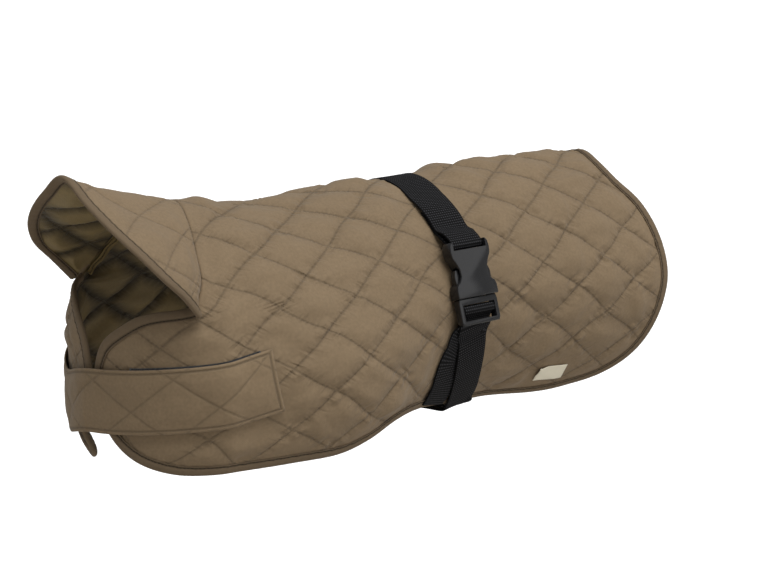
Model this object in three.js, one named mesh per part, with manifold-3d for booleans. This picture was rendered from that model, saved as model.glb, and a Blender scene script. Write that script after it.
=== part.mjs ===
// A quilted winter coat for a dog, in the hollow shape it has when it is worn.
// Millimetres, +Z up. X runs along the back with the neck at -X, and the buckle is on the -Y side.
// The origin is on the inside of the back, on the ridge, where the wearer carries the coat.
import * as THREE from 'three';
import Module from 'manifold-3d';
import { mergeVertices } from 'three/addons/utils/BufferGeometryUtils.js';

const wasm = await Module();
wasm.setup();

// The body form. Each row is a section across the body: s is the distance behind the neck,
// top the height of the ridge, wide the half width, drop the fall from the ridge to the widest
// place and low the depth below it.
const BODY = [
  { s: 0, top: 12, wide: 119, drop: 146, low: 161 },
  { s: 110, top: 0, wide: 138, drop: 135, low: 155 },
  { s: 230, top: 6, wide: 117, drop: 114, low: 146 },
  { s: 330, top: 7, wide: 104, drop: 102, low: 140 },
  { s: 430, top: 7, wide: 104, drop: 117, low: 140 },
  { s: 520, top: 4, wide: 101, drop: 127, low: 138 },
];
// The form is fitted to the coat's outside, and the inner face of its cloth lies this far inside it.
const INSET = 6;
const NECK_X = -250;
const ROOF_POWER = 1.7;
const CHEST_REACH = 71;
const CHEST_POWER = 1.6;

// The cut of the body panel, half of it: s along the back and t around from the ridge.
const NECK_EDGE = [
  { s: 22, t: 0 }, { s: 14, t: 32 }, { s: 2, t: 72 }, { s: -9, t: 106 }, { s: -24, t: 126 },
];
const FRONT_EDGE = [
  { s: -57, t: 138 }, { s: -93, t: 156 }, { s: -121, t: 176 }, { s: -133, t: 200 },
  { s: -129, t: 224 }, { s: -111, t: 245 }, { s: -85, t: 261 }, { s: -49, t: 270 },
];
const HEM_EDGE = [
  { s: 0, t: 271 }, { s: 60, t: 275 }, { s: 112, t: 278 }, { s: 143, t: 272 }, { s: 180, t: 260 },
  { s: 225, t: 259 }, { s: 275, t: 268 }, { s: 324, t: 277 }, { s: 385, t: 281 }, { s: 430, t: 275 },
  { s: 470, t: 263 }, { s: 500, t: 240 }, { s: 522, t: 204 }, { s: 534, t: 165 },
];
const REAR_EDGE = [
  { s: 534, t: 130 }, { s: 525, t: 90 }, { s: 510, t: 58 }, { s: 506, t: 28 }, { s: 509, t: 0 },
];

// Quilting: diamonds with their long diagonal along the back.
const DIAMOND_LONG = 80;
const DIAMOND_HIGH = 54.8;
const BODY_CROSSING = { s: 95, t: 0 };
const FINE_CELLS = 4;
const COARSE_CELLS = 2;
const CLOTH = 2;
const BODY_PUFF = 4.6;
const COLLAR_PUFF = 3;
const STRAP_PUFF = 1.4;

// Edges
const EDGE_STEP = 15;
const NECK_STEPS = 22;
const BINDING_WIDE = 8.5;
const TAPE_THICK = 0.9;
const GAP = 0.3;
const RING = 8.8;

// The collar's free edge at even steps from the ridge to the end of the neck seam.
const COLLAR_EDGE = [
  { x: -341.3, y: 0, z: 42.4 }, { x: -339.5, y: 31.7, z: 24.5 }, { x: -333.4, y: 60.7, z: 5.2 },
  { x: -322.6, y: 84.9, z: -14 }, { x: -308.7, y: 98.5, z: -33 }, { x: -290.1, y: 100.2, z: -51.1 },
  { x: -272.6, y: 97, z: -70.5 },
];
const COLLAR_LONG = 150;
const COLLAR_BULGE = 1;
const COLLAR_STEPS = 32;
const COLLAR_CROSSING = { p: 48, q: 14 };

// The chest strap: p runs along it from the front centre, minus towards the near side, and q across it.
const STRAP_NEAR = -184;
const STRAP_FAR = 152;
const STRAP_WIDE = 57;
const STRAP_CLOTH = 1.6;
const STRAP_CLEAR = 5;
const STRAP_SEWN = 3.4;
const STRAP_CROSSING = { p: -90, q: -19 };
const STRAP_STEPS = 32;
const STRAP_LEAN = 0.2;
const STRAP_ACROSS = [-28.5, -25, -12.5, 0, 12.5, 25, 28.5];
const HOOK = { first: 1, last: 22, across: [-25, -12.5, 0, 12.5, 25], low: 3.75, high: 4.65 };
const PATCH = { first: 1, last: 13, across: [-29.8, -25, -12.5, 0, 12.5, 25], low: 2.6, high: 3.35 };

// The belly belt and its side release buckle
const BELT_WIDE = 40;
const BELT_THICK = 1.6;
const BELT_LINE = [
  { t: 0, s: 260 }, { t: 40, s: 269 }, { t: 105, s: 272 }, { t: 192, s: 273 }, { t: 243, s: 280 },
  { t: 276, s: 286 },
];
const TAIL_LINE = [{ t: 192, s: 264 }, { t: 219, s: 252 }, { t: 246, s: 248 }, { t: 275, s: 240 }];
const ON_CLOTH = 3.9;
const TAIL_OVER_HEM = 4.5;
const OVER_HEM = 5.9;
const SECOND_LAYER = 6.5;
const BELLY = [{ x: 38, y: 44, z: -210 }, { x: 39, y: 18, z: -212 }];
const BUCKLE_SEAT = { s: 271, t: -146, h: 2.4 };
const BUCKLE_MID = 5.5;
const BAR = 3.4;
const FOLD_RADIUS = 3.7;
const FEMALE_BAR_V = -35.7;
const MALE_BAR_V = 24;

const LABEL = { s0: 385, s1: 419, t0: 250, t1: 268, low: 2.7, high: 3.5 };

const COLORS = {
  shell: 0x87765f, binding: 0x7d7063, lining: 0x3a3020, webbing: 0x141416, hook: 0x101010,
  plastic: 0x2b2b2d, label: 0xd9cfb4,
};

// Small helpers

const V2 = (x, y) => new THREE.Vector2(x, y);
const clamp01 = (x) => Math.min(Math.max(x, 0), 1);
const ramp = (x, from, to) => {
  const u = clamp01((x - from) / (to - from));
  return u * u * (3 - 2 * u);
};

// A smooth curve through one column of a table, level at both ends.
function eased(rows, key, column, at) {
  const last = rows.length - 1;
  const x = Math.min(Math.max(at, rows[0][key]), rows[last][key]);
  let i = 0;
  while (i < last - 1 && rows[i + 1][key] <= x) i += 1;
  const slope = (k) => {
    if (k === 0 || k === last) return 0;
    return (rows[k + 1][column] - rows[k - 1][column]) / (rows[k + 1][key] - rows[k - 1][key]);
  };
  const step = rows[i + 1][key] - rows[i][key];
  const u = (x - rows[i][key]) / step;
  const v = 1 - u;
  return v * v * (1 + 2 * u) * rows[i][column] + u * u * (1 + 2 * v) * rows[i + 1][column]
    + u * v * v * step * slope(i) - u * u * v * step * slope(i + 1);
}

// The point at a distance along a polyline given by its columns.
function along(arcs, at, ...columns) {
  let i = 1;
  while (i < arcs.length - 1 && arcs[i] < at) i += 1;
  const u = clamp01((at - arcs[i - 1]) / (arcs[i] - arcs[i - 1]));
  return columns.map((column) => column[i - 1] + u * (column[i] - column[i - 1]));
}

function arcLengths(xs, ys) {
  const arcs = [0];
  for (let i = 1; i < xs.length; i += 1) {
    arcs.push(arcs[i - 1] + Math.hypot(xs[i] - xs[i - 1], ys[i] - ys[i - 1]));
  }
  return arcs;
}

// The body form: a soft roof over a rounded belly, and a chest that closes to the front.

function section(s) {
  const [top, wide, drop, low] = ['top', 'wide', 'drop', 'low'].map((column) => eased(BODY, 's', column, s));
  const steps = 60;
  const ys = [];
  const zs = [];
  for (let i = 0; i <= steps; i += 1) {
    const a = (i / steps) * Math.PI / 2;
    ys.push(wide * Math.sin(a) ** (2 / ROOF_POWER));
    zs.push(top - drop + drop * Math.cos(a) ** (2 / ROOF_POWER));
  }
  for (let i = 1; i <= steps; i += 1) {
    const a = (i / steps) * Math.PI / 2;
    ys.push(wide * Math.cos(a));
    zs.push(top - drop - low * Math.sin(a));
  }
  return { ys, zs, arcs: arcLengths(ys, zs) };
}

// Plan of the chest in front of the neck for one half width: from the side to the front centre.
function chestPlan(half) {
  const steps = 50;
  const xs = [];
  const ys = [];
  for (let i = 0; i <= steps; i += 1) {
    const a = (i / steps) * Math.PI / 2;
    xs.push(CHEST_REACH * Math.sin(a) ** (2 / CHEST_POWER));
    ys.push(half * Math.cos(a) ** (2 / CHEST_POWER));
  }
  return { xs, ys, arcs: arcLengths(xs, ys) };
}

// The form at s along the back and t around it.
function skin(s, t) {
  const { ys, zs, arcs } = section(Math.max(s, 0));
  const [half, z] = along(arcs, Math.abs(t), ys, zs);
  const side = t < 0 ? -1 : 1;
  if (s >= 0) return new THREE.Vector3(NECK_X + s, side * half, z);
  const plan = chestPlan(half);
  const [reach, y] = along(plan.arcs, -s, plan.xs, plan.ys);
  return new THREE.Vector3(NECK_X - reach, side * y, z);
}

// How far around from the ridge the strap's middle runs: it falls towards the front, and further on the
// far side, where it is sewn on lower.
const strapMiddle = (p) => 222 - 0.13 * Math.hypot(p, 20) + 22 * ramp(p, -10, 70);

// The same form along the strap, measured from the front centre. Towards the near end the lines across
// the strap lean, so that its end is square to its length.
function strapSkin(run, q) {
  const p = run - STRAP_LEAN * q * ramp(-run, 146, 182);
  const t = strapMiddle(p) + q;
  const { ys, zs, arcs } = section(0);
  const [half] = along(arcs, t, ys, zs);
  const nose = chestPlan(half).arcs.at(-1);
  return skin(Math.abs(p) - nose, p < 0 ? -t : t);
}

// A point at a height h over the cloth's inner face, which lies inside a surface of two parameters.
function lift(surface, p, q, h) {
  const e = 0.6;
  const one = surface(p + e, q).sub(surface(p - e, q));
  const two = surface(p, q + e).sub(surface(p, q - e));
  return surface(p, q).addScaledVector(one.cross(two).normalize(), h - INSET);
}

// Cloth pieces

const loopCurve = (rows) => {
  const curve = new THREE.CatmullRomCurve3(rows.map(({ s, t }) => new THREE.Vector3(s, t, 0)));
  curve.arcLengthDivisions = 3000;
  return curve;
};
const spaced = (curve, count) => curve.getSpacedPoints(count).map((p) => V2(p.x, p.y));
const mirrored = (rows) => rows.map(({ s, t }) => ({ s, t: -t })).reverse();

function insideLoop(p, loop) {
  let inside = false;
  loop.forEach((a, i) => {
    const b = loop[(i + 1) % loop.length];
    if ((a.y > p.y) !== (b.y > p.y) && p.x < a.x + ((b.x - a.x) * (p.y - a.y)) / (b.y - a.y)) {
      inside = !inside;
    }
  });
  return inside;
}

function distanceToLoop(p, loop) {
  let least = Infinity;
  loop.forEach((a, i) => {
    const run = loop[(i + 1) % loop.length].clone().sub(a);
    const u = clamp01(p.clone().sub(a).dot(run) / run.lengthSq());
    least = Math.min(least, p.distanceTo(a.clone().addScaledVector(run, u)));
  });
  return least;
}

// The way into the cloth at each point of its edge, for a loop that runs anticlockwise.
function inwards(loop) {
  return loop.map((_, i) => {
    const run = loop[(i + 1) % loop.length].clone().sub(loop.at(i - 1)).normalize();
    return V2(-run.y, run.x);
  });
}

// Points on the quilting's lattice, a number of cells to each diamond, that lie well inside a loop.
function latticePoints(loop, crossing, cells, clear) {
  const reach = 14 * cells;
  const found = [];
  for (let i = -reach; i <= reach; i += 1) {
    for (let j = -reach; j <= reach; j += 1) {
      const p = V2(
        crossing.x + (DIAMOND_LONG * (i + j)) / (2 * cells),
        crossing.y + (DIAMOND_HIGH * (i - j)) / (2 * cells),
      );
      if (insideLoop(p, loop) && distanceToLoop(p, loop) > clear) found.push(p);
    }
  }
  return found;
}

// A row of points just inside the edge, where the cloth is sewn flat.
function edgeRing(loop, ring) {
  const kept = [];
  inwards(loop).forEach((way, i) => {
    const p = loop[i].clone().addScaledVector(way, ring);
    const free = kept.every((other) => other.distanceTo(p) > 0.6 * ring);
    if (free && insideLoop(p, loop) && distanceToLoop(p, loop) > 0.85 * ring) kept.push(p);
  });
  return kept;
}

// Height of the filling between the quilting's lines, from 0 on a line to 1 in a diamond's middle.
function pillow(p, crossing) {
  const u = (p.x - crossing.x) / DIAMOND_LONG + (p.y - crossing.y) / DIAMOND_HIGH;
  const v = (p.x - crossing.x) / DIAMOND_LONG - (p.y - crossing.y) / DIAMOND_HIGH;
  return Math.sqrt(Math.abs(Math.sin(Math.PI * u) * Math.sin(Math.PI * v)));
}

// Triangles between points in a plane, each with no other point inside its circle.
function triangulate(points) {
  const far = 1e5;
  const all = [...points, V2(-far, -far), V2(far, -far), V2(0, far)];
  const circled = (a, b, c) => {
    const [pa, pb, pc] = [all[a], all[b], all[c]];
    const ab = pb.clone().sub(pa);
    const ac = pc.clone().sub(pa);
    const twice = 2 * ab.cross(ac);
    const centre = V2(
      pa.x + (ac.y * ab.lengthSq() - ab.y * ac.lengthSq()) / twice,
      pa.y + (ab.x * ac.lengthSq() - ac.x * ab.lengthSq()) / twice,
    );
    return { corners: [a, b, c], centre, radius2: centre.distanceToSquared(pa) };
  };
  let triangles = [circled(points.length, points.length + 1, points.length + 2)];
  points.forEach((p, index) => {
    const rim = new Map();
    triangles = triangles.filter(({ corners, centre, radius2 }) => {
      if (p.distanceToSquared(centre) > radius2 * (1 - 1e-9)) return true;
      corners.forEach((a, k) => {
        const b = corners[(k + 1) % 3];
        if (!rim.delete(`${b},${a}`)) rim.set(`${a},${b}`, [a, b]);
      });
      return false;
    });
    rim.forEach(([a, b]) => triangles.push(circled(a, b, index)));
  });
  return triangles.map(({ corners }) => corners).filter((corners) => Math.max(...corners) < points.length);
}

// A mesh from points and triangles, turned if its faces point inwards.
function closedBody(points, triangles) {
  let volume = 0;
  triangles.forEach(([a, b, c]) => {
    volume += points[a].dot(points[b].clone().cross(points[c]));
  });
  const index = triangles.flatMap(([a, b, c]) => (volume > 0 ? [a, b, c] : [a, c, b]));
  const geometry = new THREE.BufferGeometry();
  geometry.setAttribute('position', new THREE.Float32BufferAttribute(points.flatMap((p) => p.toArray()), 3));
  geometry.setIndex(index);
  return geometry;
}

// A wall of cloth: a finely pointed outer face over a plainer inner one, joined round the edge.
// place(point, outer) gives the place in space of a point of the cut.
function clothWall(loop, outerPoints, innerPoints, place) {
  const middle = (corners, from) => corners
    .reduce((sum, k) => sum.add(from[k]), V2(0, 0)).multiplyScalar(1 / 3);
  const face = (more) => {
    const flat = [...loop, ...more];
    return { flat, corners: triangulate(flat).filter((corners) => insideLoop(middle(corners, flat), loop)) };
  };
  const outer = face(outerPoints);
  const inner = face(innerPoints);
  const start = outer.flat.length;
  const points = [...outer.flat.map((p) => place(p, true)), ...inner.flat.map((p) => place(p, false))];
  const backs = inner.corners.map(([a, b, c]) => [start + a, start + c, start + b]);
  const triangles = [...outer.corners, ...backs];
  loop.forEach((_, i) => {
    const next = (i + 1) % loop.length;
    triangles.push([i, start + i, next], [next, start + i, start + next]);
  });
  return closedBody(points, triangles);
}

// Triangles that close a flat section, each with its corners in the section's own order.
const flatCap = (section) => THREE.ShapeUtils.triangulateShape(section, [])
  .map((corners) => corners.toSorted((a, b) => a - b));

// The same for a band whose ring runs along one face and back along the other.
function bandCap(across) {
  const last = 2 * across - 1;
  const steps = Array.from({ length: across - 1 }, (_, k) => k);
  return steps.flatMap((k) => [[k, k + 1, last - k], [k + 1, last - k - 1, last - k]]);
}

// A bar whose closed section changes from ring to ring, with its first and last ring capped.
function ringBar(rings, cap) {
  const size = rings[0].length;
  const triangles = [];
  for (let i = 0; i + 1 < rings.length; i += 1) {
    for (let k = 0; k < size; k += 1) {
      const a = i * size + k;
      const b = i * size + ((k + 1) % size);
      triangles.push([a, b, a + size], [b, b + size, a + size]);
    }
  }
  const last = (rings.length - 1) * size;
  cap.forEach(([a, b, c]) => triangles.push([a, c, b], [last + a, last + b, last + c]));
  return closedBody(rings.flat(), triangles);
}

// A strip along an edge: its section is given by how far into the cloth and how high it lies.
function edgeStrip(edge, ways, surface, flatSection) {
  const rings = edge.map((point, i) => flatSection.map(({ x, y }) => {
    const p = point.clone().addScaledVector(ways[i], x);
    return lift(surface, p.x, p.y, y);
  }));
  return ringBar(rings, flatCap(flatSection));
}

// The section of a tape folded around an edge of the cloth, with a gap between them.
function bindingSection(gap) {
  const out = -gap - TAPE_THICK;
  const above = CLOTH + gap;
  return [
    V2(BINDING_WIDE, -gap), V2(-gap, -gap), V2(-gap, above), V2(BINDING_WIDE, above),
    V2(BINDING_WIDE, above + TAPE_THICK), V2(out, above + TAPE_THICK), V2(out, out), V2(BINDING_WIDE, out),
  ];
}

// The body panel's edge

const neckRows = [...mirrored(NECK_EDGE), ...NECK_EDGE.slice(1)];
const rim = [...FRONT_EDGE, ...HEM_EDGE, ...REAR_EDGE];
const corner = NECK_EDGE.at(-1);
const freeRows = [corner, ...rim, ...mirrored(rim).slice(1), { s: corner.s, t: -corner.t }];
const neckCurve = loopCurve(neckRows);
const freeCurve = loopCurve(freeRows);
const neckPoints = spaced(neckCurve, NECK_STEPS);
const freePoints = spaced(freeCurve, Math.round(freeCurve.getLength() / EDGE_STEP));

// Round the panel the way that keeps the cloth on the left: along the free edge, back along the neck.
const panelLoop = [...freePoints, ...neckPoints.slice(1, -1)].reverse();
const panelWays = inwards(panelLoop);
const wayAt = (point) => panelWays[panelLoop.indexOf(point)];

// Where the belt, the strap and the label press the filling flat.
function pressed(s, t) {
  const away = Math.abs(t);
  const middle = eased(BELT_LINE, 't', 's', away);
  const tail = t < 0 && away > 170 ? eased(TAIL_LINE, 't', 's', away) - 22 : middle;
  const belt = Math.max(s - middle - 27, Math.min(middle - 27, tail) - s, 0);
  const { ys, zs, arcs } = section(0);
  const [half] = along(arcs, away, ys, zs);
  const p = (s + chestPlan(half).arcs.at(-1)) * (t < 0 ? -1 : 1);
  const beyond = Math.max(STRAP_NEAR - p, p - STRAP_FAR, 0);
  const strap = Math.hypot(beyond, Math.max(Math.abs(away - strapMiddle(p)) - STRAP_WIDE / 2, 0));
  const label = t > 0 ? 99 : Math.hypot(
    Math.max(LABEL.s0 - s, s - LABEL.s1, 0),
    Math.max(LABEL.t0 - away, 0),
  );
  return Math.min(ramp(belt, 14, 32), ramp(strap, 14, 32), ramp(label, 12, 26));
}

function bodyPanel() {
  const centre = V2(BODY_CROSSING.s, BODY_CROSSING.t);
  const ring = edgeRing(panelLoop, RING);
  const fine = latticePoints(panelLoop, centre, FINE_CELLS, RING + 5);
  const coarse = latticePoints(panelLoop, centre, COARSE_CELLS, RING + 9);
  const place = (p, outer) => {
    if (!outer) return lift(skin, p.x, p.y, 0);
    const sewn = ramp(distanceToLoop(p, panelLoop), RING, RING + 22);
    const rise = BODY_PUFF * pillow(p, centre) * sewn * pressed(p.x, p.y);
    return lift(skin, p.x, p.y, CLOTH + rise);
  };
  return clothWall(panelLoop, [...ring, ...fine], [...ring, ...coarse], place);
}

function bodyBinding() {
  const edge = freePoints.slice(1, -1);
  return edgeStrip(edge, edge.map(wayAt), skin, bindingSection(GAP));
}

function neckTape() {
  const edge = neckPoints.slice(2, -2);
  const low = -GAP - 0.2;
  const flatSection = [V2(0.6, low), V2(8, low), V2(8, low - 1.1), V2(0.6, low - 1.1)];
  return edgeStrip(edge, edge.map(wayAt), skin, flatSection);
}

// The collar: p runs along it from the ridge, q from the neck seam to the free edge.

const COLLAR_ROWS = COLLAR_EDGE.map((row, i) => ({ w: i / (COLLAR_EDGE.length - 1), ...row }));

function collarEdgeAt(w) {
  const [x, y, z] = ['x', 'y', 'z'].map((column) => {
    const rows = [{ ...COLLAR_ROWS[1], w: -COLLAR_ROWS[1].w, y: -COLLAR_ROWS[1].y }, ...COLLAR_ROWS];
    return eased(rows, 'w', column, Math.abs(w));
  });
  return new THREE.Vector3(x, w < 0 ? -y : y, z);
}

function seamAt(w) {
  const at = clamp01((w + 1) / 2);
  const p = neckCurve.getPointAt(at);
  const run = neckCurve.getTangentAt(at);
  return V2(p.x - run.y * 0.45, p.y + run.x * 0.45);
}

const collarDeep = (w) => {
  const seam = seamAt(w);
  return lift(skin, seam.x, seam.y, 0).distanceTo(collarEdgeAt(w));
};

function collarSkin(p, q) {
  const w = Math.min(Math.max(p / COLLAR_LONG, -1), 1);
  const seam = seamAt(w);
  const from = lift(skin, seam.x, seam.y, 0);
  const to = collarEdgeAt(w);
  const v = q / from.distanceTo(to);
  const point = from.clone().lerp(to, v);
  const swell = COLLAR_BULGE * Math.sin(Math.PI * clamp01(v)) * ramp(from.distanceTo(to), 10, 60);
  return point.add(new THREE.Vector3(0.2, Math.sin(w * Math.PI / 2), Math.cos(w * Math.PI / 2))
    .normalize().multiplyScalar(swell));
}

// A point raised from the collar, leaning at the seam the way the body panel's edge does.
function collarLift(p, q, h) {
  const e = 0.6;
  const inner = Math.min(Math.max(p, e - COLLAR_LONG), COLLAR_LONG - e);
  const one = collarSkin(inner + e, q).sub(collarSkin(inner - e, q));
  const two = collarSkin(inner, q + e).sub(collarSkin(inner, q - e));
  const own = one.cross(two).normalize();
  const seam = seamAt(p / COLLAR_LONG);
  const panel = lift(skin, seam.x, seam.y, 1).sub(lift(skin, seam.x, seam.y, 0));
  return collarSkin(p, q).addScaledVector(panel.lerp(own, ramp(q, 0, 14)).normalize(), h);
}

const collarSeam = Array.from({ length: NECK_STEPS + 1 }, (_, i) => (
  V2(COLLAR_LONG * ((2 * i) / NECK_STEPS - 1), 0)));
const collarFree = Array.from({ length: COLLAR_STEPS + 1 }, (_, i) => {
  const w = 1 - (2 * i) / COLLAR_STEPS;
  return V2(COLLAR_LONG * w, collarDeep(w));
});
const collarLoop = [...collarSeam, ...collarFree];

function collar() {
  const centre = V2(COLLAR_CROSSING.p, COLLAR_CROSSING.q);
  const turned = (points) => points.map(({ x, y }) => V2(y, x));
  const across = turned(collarLoop);
  const turnedCentre = V2(centre.y, centre.x);
  const fine = turned(latticePoints(across, turnedCentre, FINE_CELLS, RING + 5));
  const coarse = turned(latticePoints(across, turnedCentre, COARSE_CELLS, RING + 9));
  const ring = edgeRing(collarLoop, RING);
  const place = (p, outer) => {
    if (!outer) return collarLift(p.x, p.y, 0);
    const sewn = ramp(distanceToLoop(p, collarLoop), RING, RING + 18);
    return collarLift(p.x, p.y, CLOTH + COLLAR_PUFF * pillow(V2(p.y, p.x), turnedCentre) * sewn);
  };
  return clothWall(collarLoop, [...ring, ...fine], [...ring, ...coarse], place);
}

function collarBinding() {
  const ways = inwards(collarLoop).slice(NECK_STEPS + 1);
  const tips = 2;
  const flatSection = bindingSection(2.5 * GAP);
  const rings = collarFree.slice(tips, -tips).map((point, i) => flatSection.map(({ x, y }) => {
    const p = point.clone().addScaledVector(ways[i + tips], x);
    return collarLift(p.x, p.y, y);
  }));
  return ringBar(rings, flatCap(flatSection));
}

// The chest strap and the tapes that close it

const strapHeight = (p) => STRAP_CLEAR + (STRAP_SEWN - STRAP_CLEAR) * ramp(p, 60, 110);

// A layer of the strap between two of its steps: low and high give its faces' heights at p and q.
function strapLayer(first, last, across, low, high) {
  const section = [...across.map((q) => [q, low]), ...across.toReversed().map((q) => [q, high])];
  const rings = [];
  for (let i = first; i <= last; i += 1) {
    const p = STRAP_NEAR + ((STRAP_FAR - STRAP_NEAR) * i) / STRAP_STEPS;
    rings.push(section.map(([q, height]) => lift(strapSkin, p, q, height(p, q))));
  }
  return ringBar(rings, bandCap(across.length));
}

function chestStrap() {
  const centre = V2(STRAP_CROSSING.p, STRAP_CROSSING.q);
  const top = (p, q) => {
    const edge = Math.min(STRAP_WIDE / 2 - Math.abs(q), p - STRAP_NEAR, STRAP_FAR - p);
    return strapHeight(p) + STRAP_CLOTH + STRAP_PUFF * pillow(V2(p, q), centre) * ramp(edge, 0, 12);
  };
  return strapLayer(0, STRAP_STEPS, STRAP_ACROSS, strapHeight, top);
}

function strapTape({ first, last, across, low, high }) {
  return strapLayer(first, last, across, () => low, () => high);
}

// The sewn-in label, left blank
function label() {
  const { s0, s1, t0, t1, low, high } = LABEL;
  const steps = 3;
  const rings = Array.from({ length: steps + 1 }, (_, i) => {
    const s = s0 + ((s1 - s0) * i) / steps;
    return [[t0, low], [t1, low], [t1, high], [t0, high]].map(([t, h]) => lift(skin, s, -t, h));
  });
  return ringBar(rings, bandCap(2));
}

// The buckle's own frame: u along the back, v down the side and w away from the cloth.
const buckleFrame = (() => {
  const { s, t, h } = BUCKLE_SEAT;
  const origin = lift(skin, s, t, h);
  const w = lift(skin, s, t, 1).sub(lift(skin, s, t, 0)).normalize();
  const down = skin(s, t - 1).sub(skin(s, t + 1));
  const v = down.addScaledVector(w, -down.dot(w)).normalize();
  const u = v.clone().cross(w);
  return new THREE.Matrix4().makeBasis(u, v, w).setPosition(origin);
})();
const atBuckle = (v, w) => new THREE.Vector3(0, v, w).applyMatrix4(buckleFrame);
const buckleAcross = new THREE.Vector3().setFromMatrixColumn(buckleFrame, 0).negate();

// Webbing: a flat band through a list of stops, each with its middle and the way across the band.
function webbing(stops) {
  const rings = stops.map(({ middle, across }, i) => {
    const before = stops[Math.max(i - 1, 0)].middle;
    const after = stops[Math.min(i + 1, stops.length - 1)].middle;
    const way = after.clone().sub(before).normalize();
    const wide = across.clone().addScaledVector(way, -across.dot(way)).normalize();
    const thick = wide.clone().cross(way);
    const inStep = middle.clone().sub(before).normalize();
    const turn = i === 0 || i === stops.length - 1 ? 1 : Math.max(inStep.dot(way), 0.6);
    const half = BELT_THICK / 2 / turn;
    return [[-1, -1], [1, -1], [1, 1], [-1, 1]].map(([a, b]) => middle.clone()
      .addScaledVector(wide, (a * BELT_WIDE) / 2).addScaledVector(thick, b * half));
  });
  return ringBar(rings, bandCap(2));
}

function bellyBelt() {
  const onBody = (line, t, h) => {
    const s = eased(line, 't', 's', Math.abs(t));
    return { middle: lift(skin, s, t, h), across: skin(s + 15, t).sub(skin(s - 15, t)) };
  };
  const inFrame = (v, w) => ({ middle: atBuckle(v, w), across: buckleAcross });
  const fold = (barV, from, to) => {
    const steps = Math.ceil(Math.abs(to - from) / 36);
    return Array.from({ length: steps + 1 }, (_, i) => {
      const a = THREE.MathUtils.degToRad(from + ((to - from) * i) / steps);
      return inFrame(barV + FOLD_RADIUS * Math.cos(a), BUCKLE_MID + FOLD_RADIUS * Math.sin(a));
    });
  };
  const across = new THREE.Vector3(1, 0, 0);
  const sewnEnd = [-68, -80, -92].map((t) => onBody(BELT_LINE, t, ON_CLOTH));
  const toFemale = [inFrame(-44, -3.2), inFrame(-39.5, 0.4)];
  const fromFemale = [inFrame(-41, 6.6), inFrame(-47, 1.4), onBody(BELT_LINE, -92, SECOND_LAYER)];
  const overBack = [];
  for (let t = -80; t <= 252; t += 12) {
    const overSewnEnd = (SECOND_LAYER - ON_CLOTH) * ramp(-t, 40, 76);
    const nearHem = (OVER_HEM - ON_CLOTH) * ramp(t, 225, 250);
    overBack.push(onBody(BELT_LINE, t, ON_CLOTH + overSewnEnd + nearHem));
  }
  overBack.push(...[262, 270, 278].map((t) => onBody(BELT_LINE, t, OVER_HEM)));
  const belly = [
    ...BELLY.map(({ x, y, z }) => ({ middle: new THREE.Vector3(x, y, z), across })),
    ...BELLY.toReversed().map(({ x, y, z }) => ({ middle: new THREE.Vector3(x, -y, z - 1), across })),
  ];
  const upNear = [-278, -270, -262, -254, -242, -230, -218, -206, -195]
    .map((t) => onBody(BELT_LINE, t, SECOND_LAYER));
  const intoMale = [inFrame(38, -0.9), inFrame(32, 0.6)];
  const behindMale = [inFrame(25, -0.3), inFrame(31, -1.7), inFrame(38, -3.5)];
  const tail = [-195, -207, -219, -231, -243, -255, -266]
    .map((t) => onBody(TAIL_LINE, t, t > -232 ? ON_CLOTH + 0.7 * ramp(t, -220, -205) : TAIL_OVER_HEM));
  return webbing([
    ...sewnEnd, ...toFemale, ...fold(FEMALE_BAR_V, -90, 90), ...fromFemale, ...overBack, ...belly,
    ...upNear, ...intoMale, ...fold(MALE_BAR_V, 0, 225), ...behindMale, ...tail,
  ]);
}

// Solids that are joined and cut

function solid(geometry) {
  const bare = geometry.clone();
  bare.deleteAttribute('normal');
  bare.deleteAttribute('uv');
  const merged = mergeVertices(bare, 1e-4);
  return new wasm.Manifold(new wasm.Mesh({
    numProp: 3,
    vertProperties: new Float32Array(merged.attributes.position.array),
    triVerts: new Uint32Array(merged.index.array),
  }));
}

function fromSolid(body) {
  const { vertProperties, triVerts } = body.getMesh();
  const geometry = new THREE.BufferGeometry();
  geometry.setAttribute('position', new THREE.BufferAttribute(new Float32Array(vertProperties), 3));
  geometry.setIndex(new THREE.BufferAttribute(new Uint32Array(triVerts), 1));
  return geometry;
}

const block = (u0, u1, v0, v1, w0, w1) => solid(
  new THREE.BoxGeometry(u1 - u0, v1 - v0, w1 - w0).translate((u0 + u1) / 2, (v0 + v1) / 2, (w0 + w1) / 2),
);

function plate(rows, w0, w1, bevel) {
  const half = rows.map(([u, v]) => V2(u, v));
  const outline = [...half, ...half.toReversed().map(({ x, y }) => V2(-x, y))];
  const options = {
    depth: w1 - w0 - 2 * bevel, bevelEnabled: bevel > 0, bevelSize: bevel, bevelThickness: bevel,
    bevelOffset: -bevel, bevelSegments: 2,
  };
  return solid(new THREE.ExtrudeGeometry(new THREE.Shape(outline), options).translate(0, 0, w0 + bevel));
}

// The half outline of the socket part: ears at the top, a scoop where the prong shows, a wide mouth.
const FEMALE_OUTLINE = [
  [22, -38.5], [24.5, -36], [25.5, -30], [24.5, -24], [21, -19], [18, -13], [17.5, -7], [20, -2], [24.5, 1],
  [26, 5], [26, 13],
];
const PRONG_OUTLINE = [
  [17.4, 20], [22.2, 20], [22.2, 1], [23.2, -4], [23.2, -9], [21.4, -13], [18.6, -13.6], [17.4, -10],
];
const FEMALE_LOW = 0.6;
const FEMALE_HIGH = 12;
const FEMALE_MOUTH = 13;
const MALE_END = 37.5;

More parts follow.
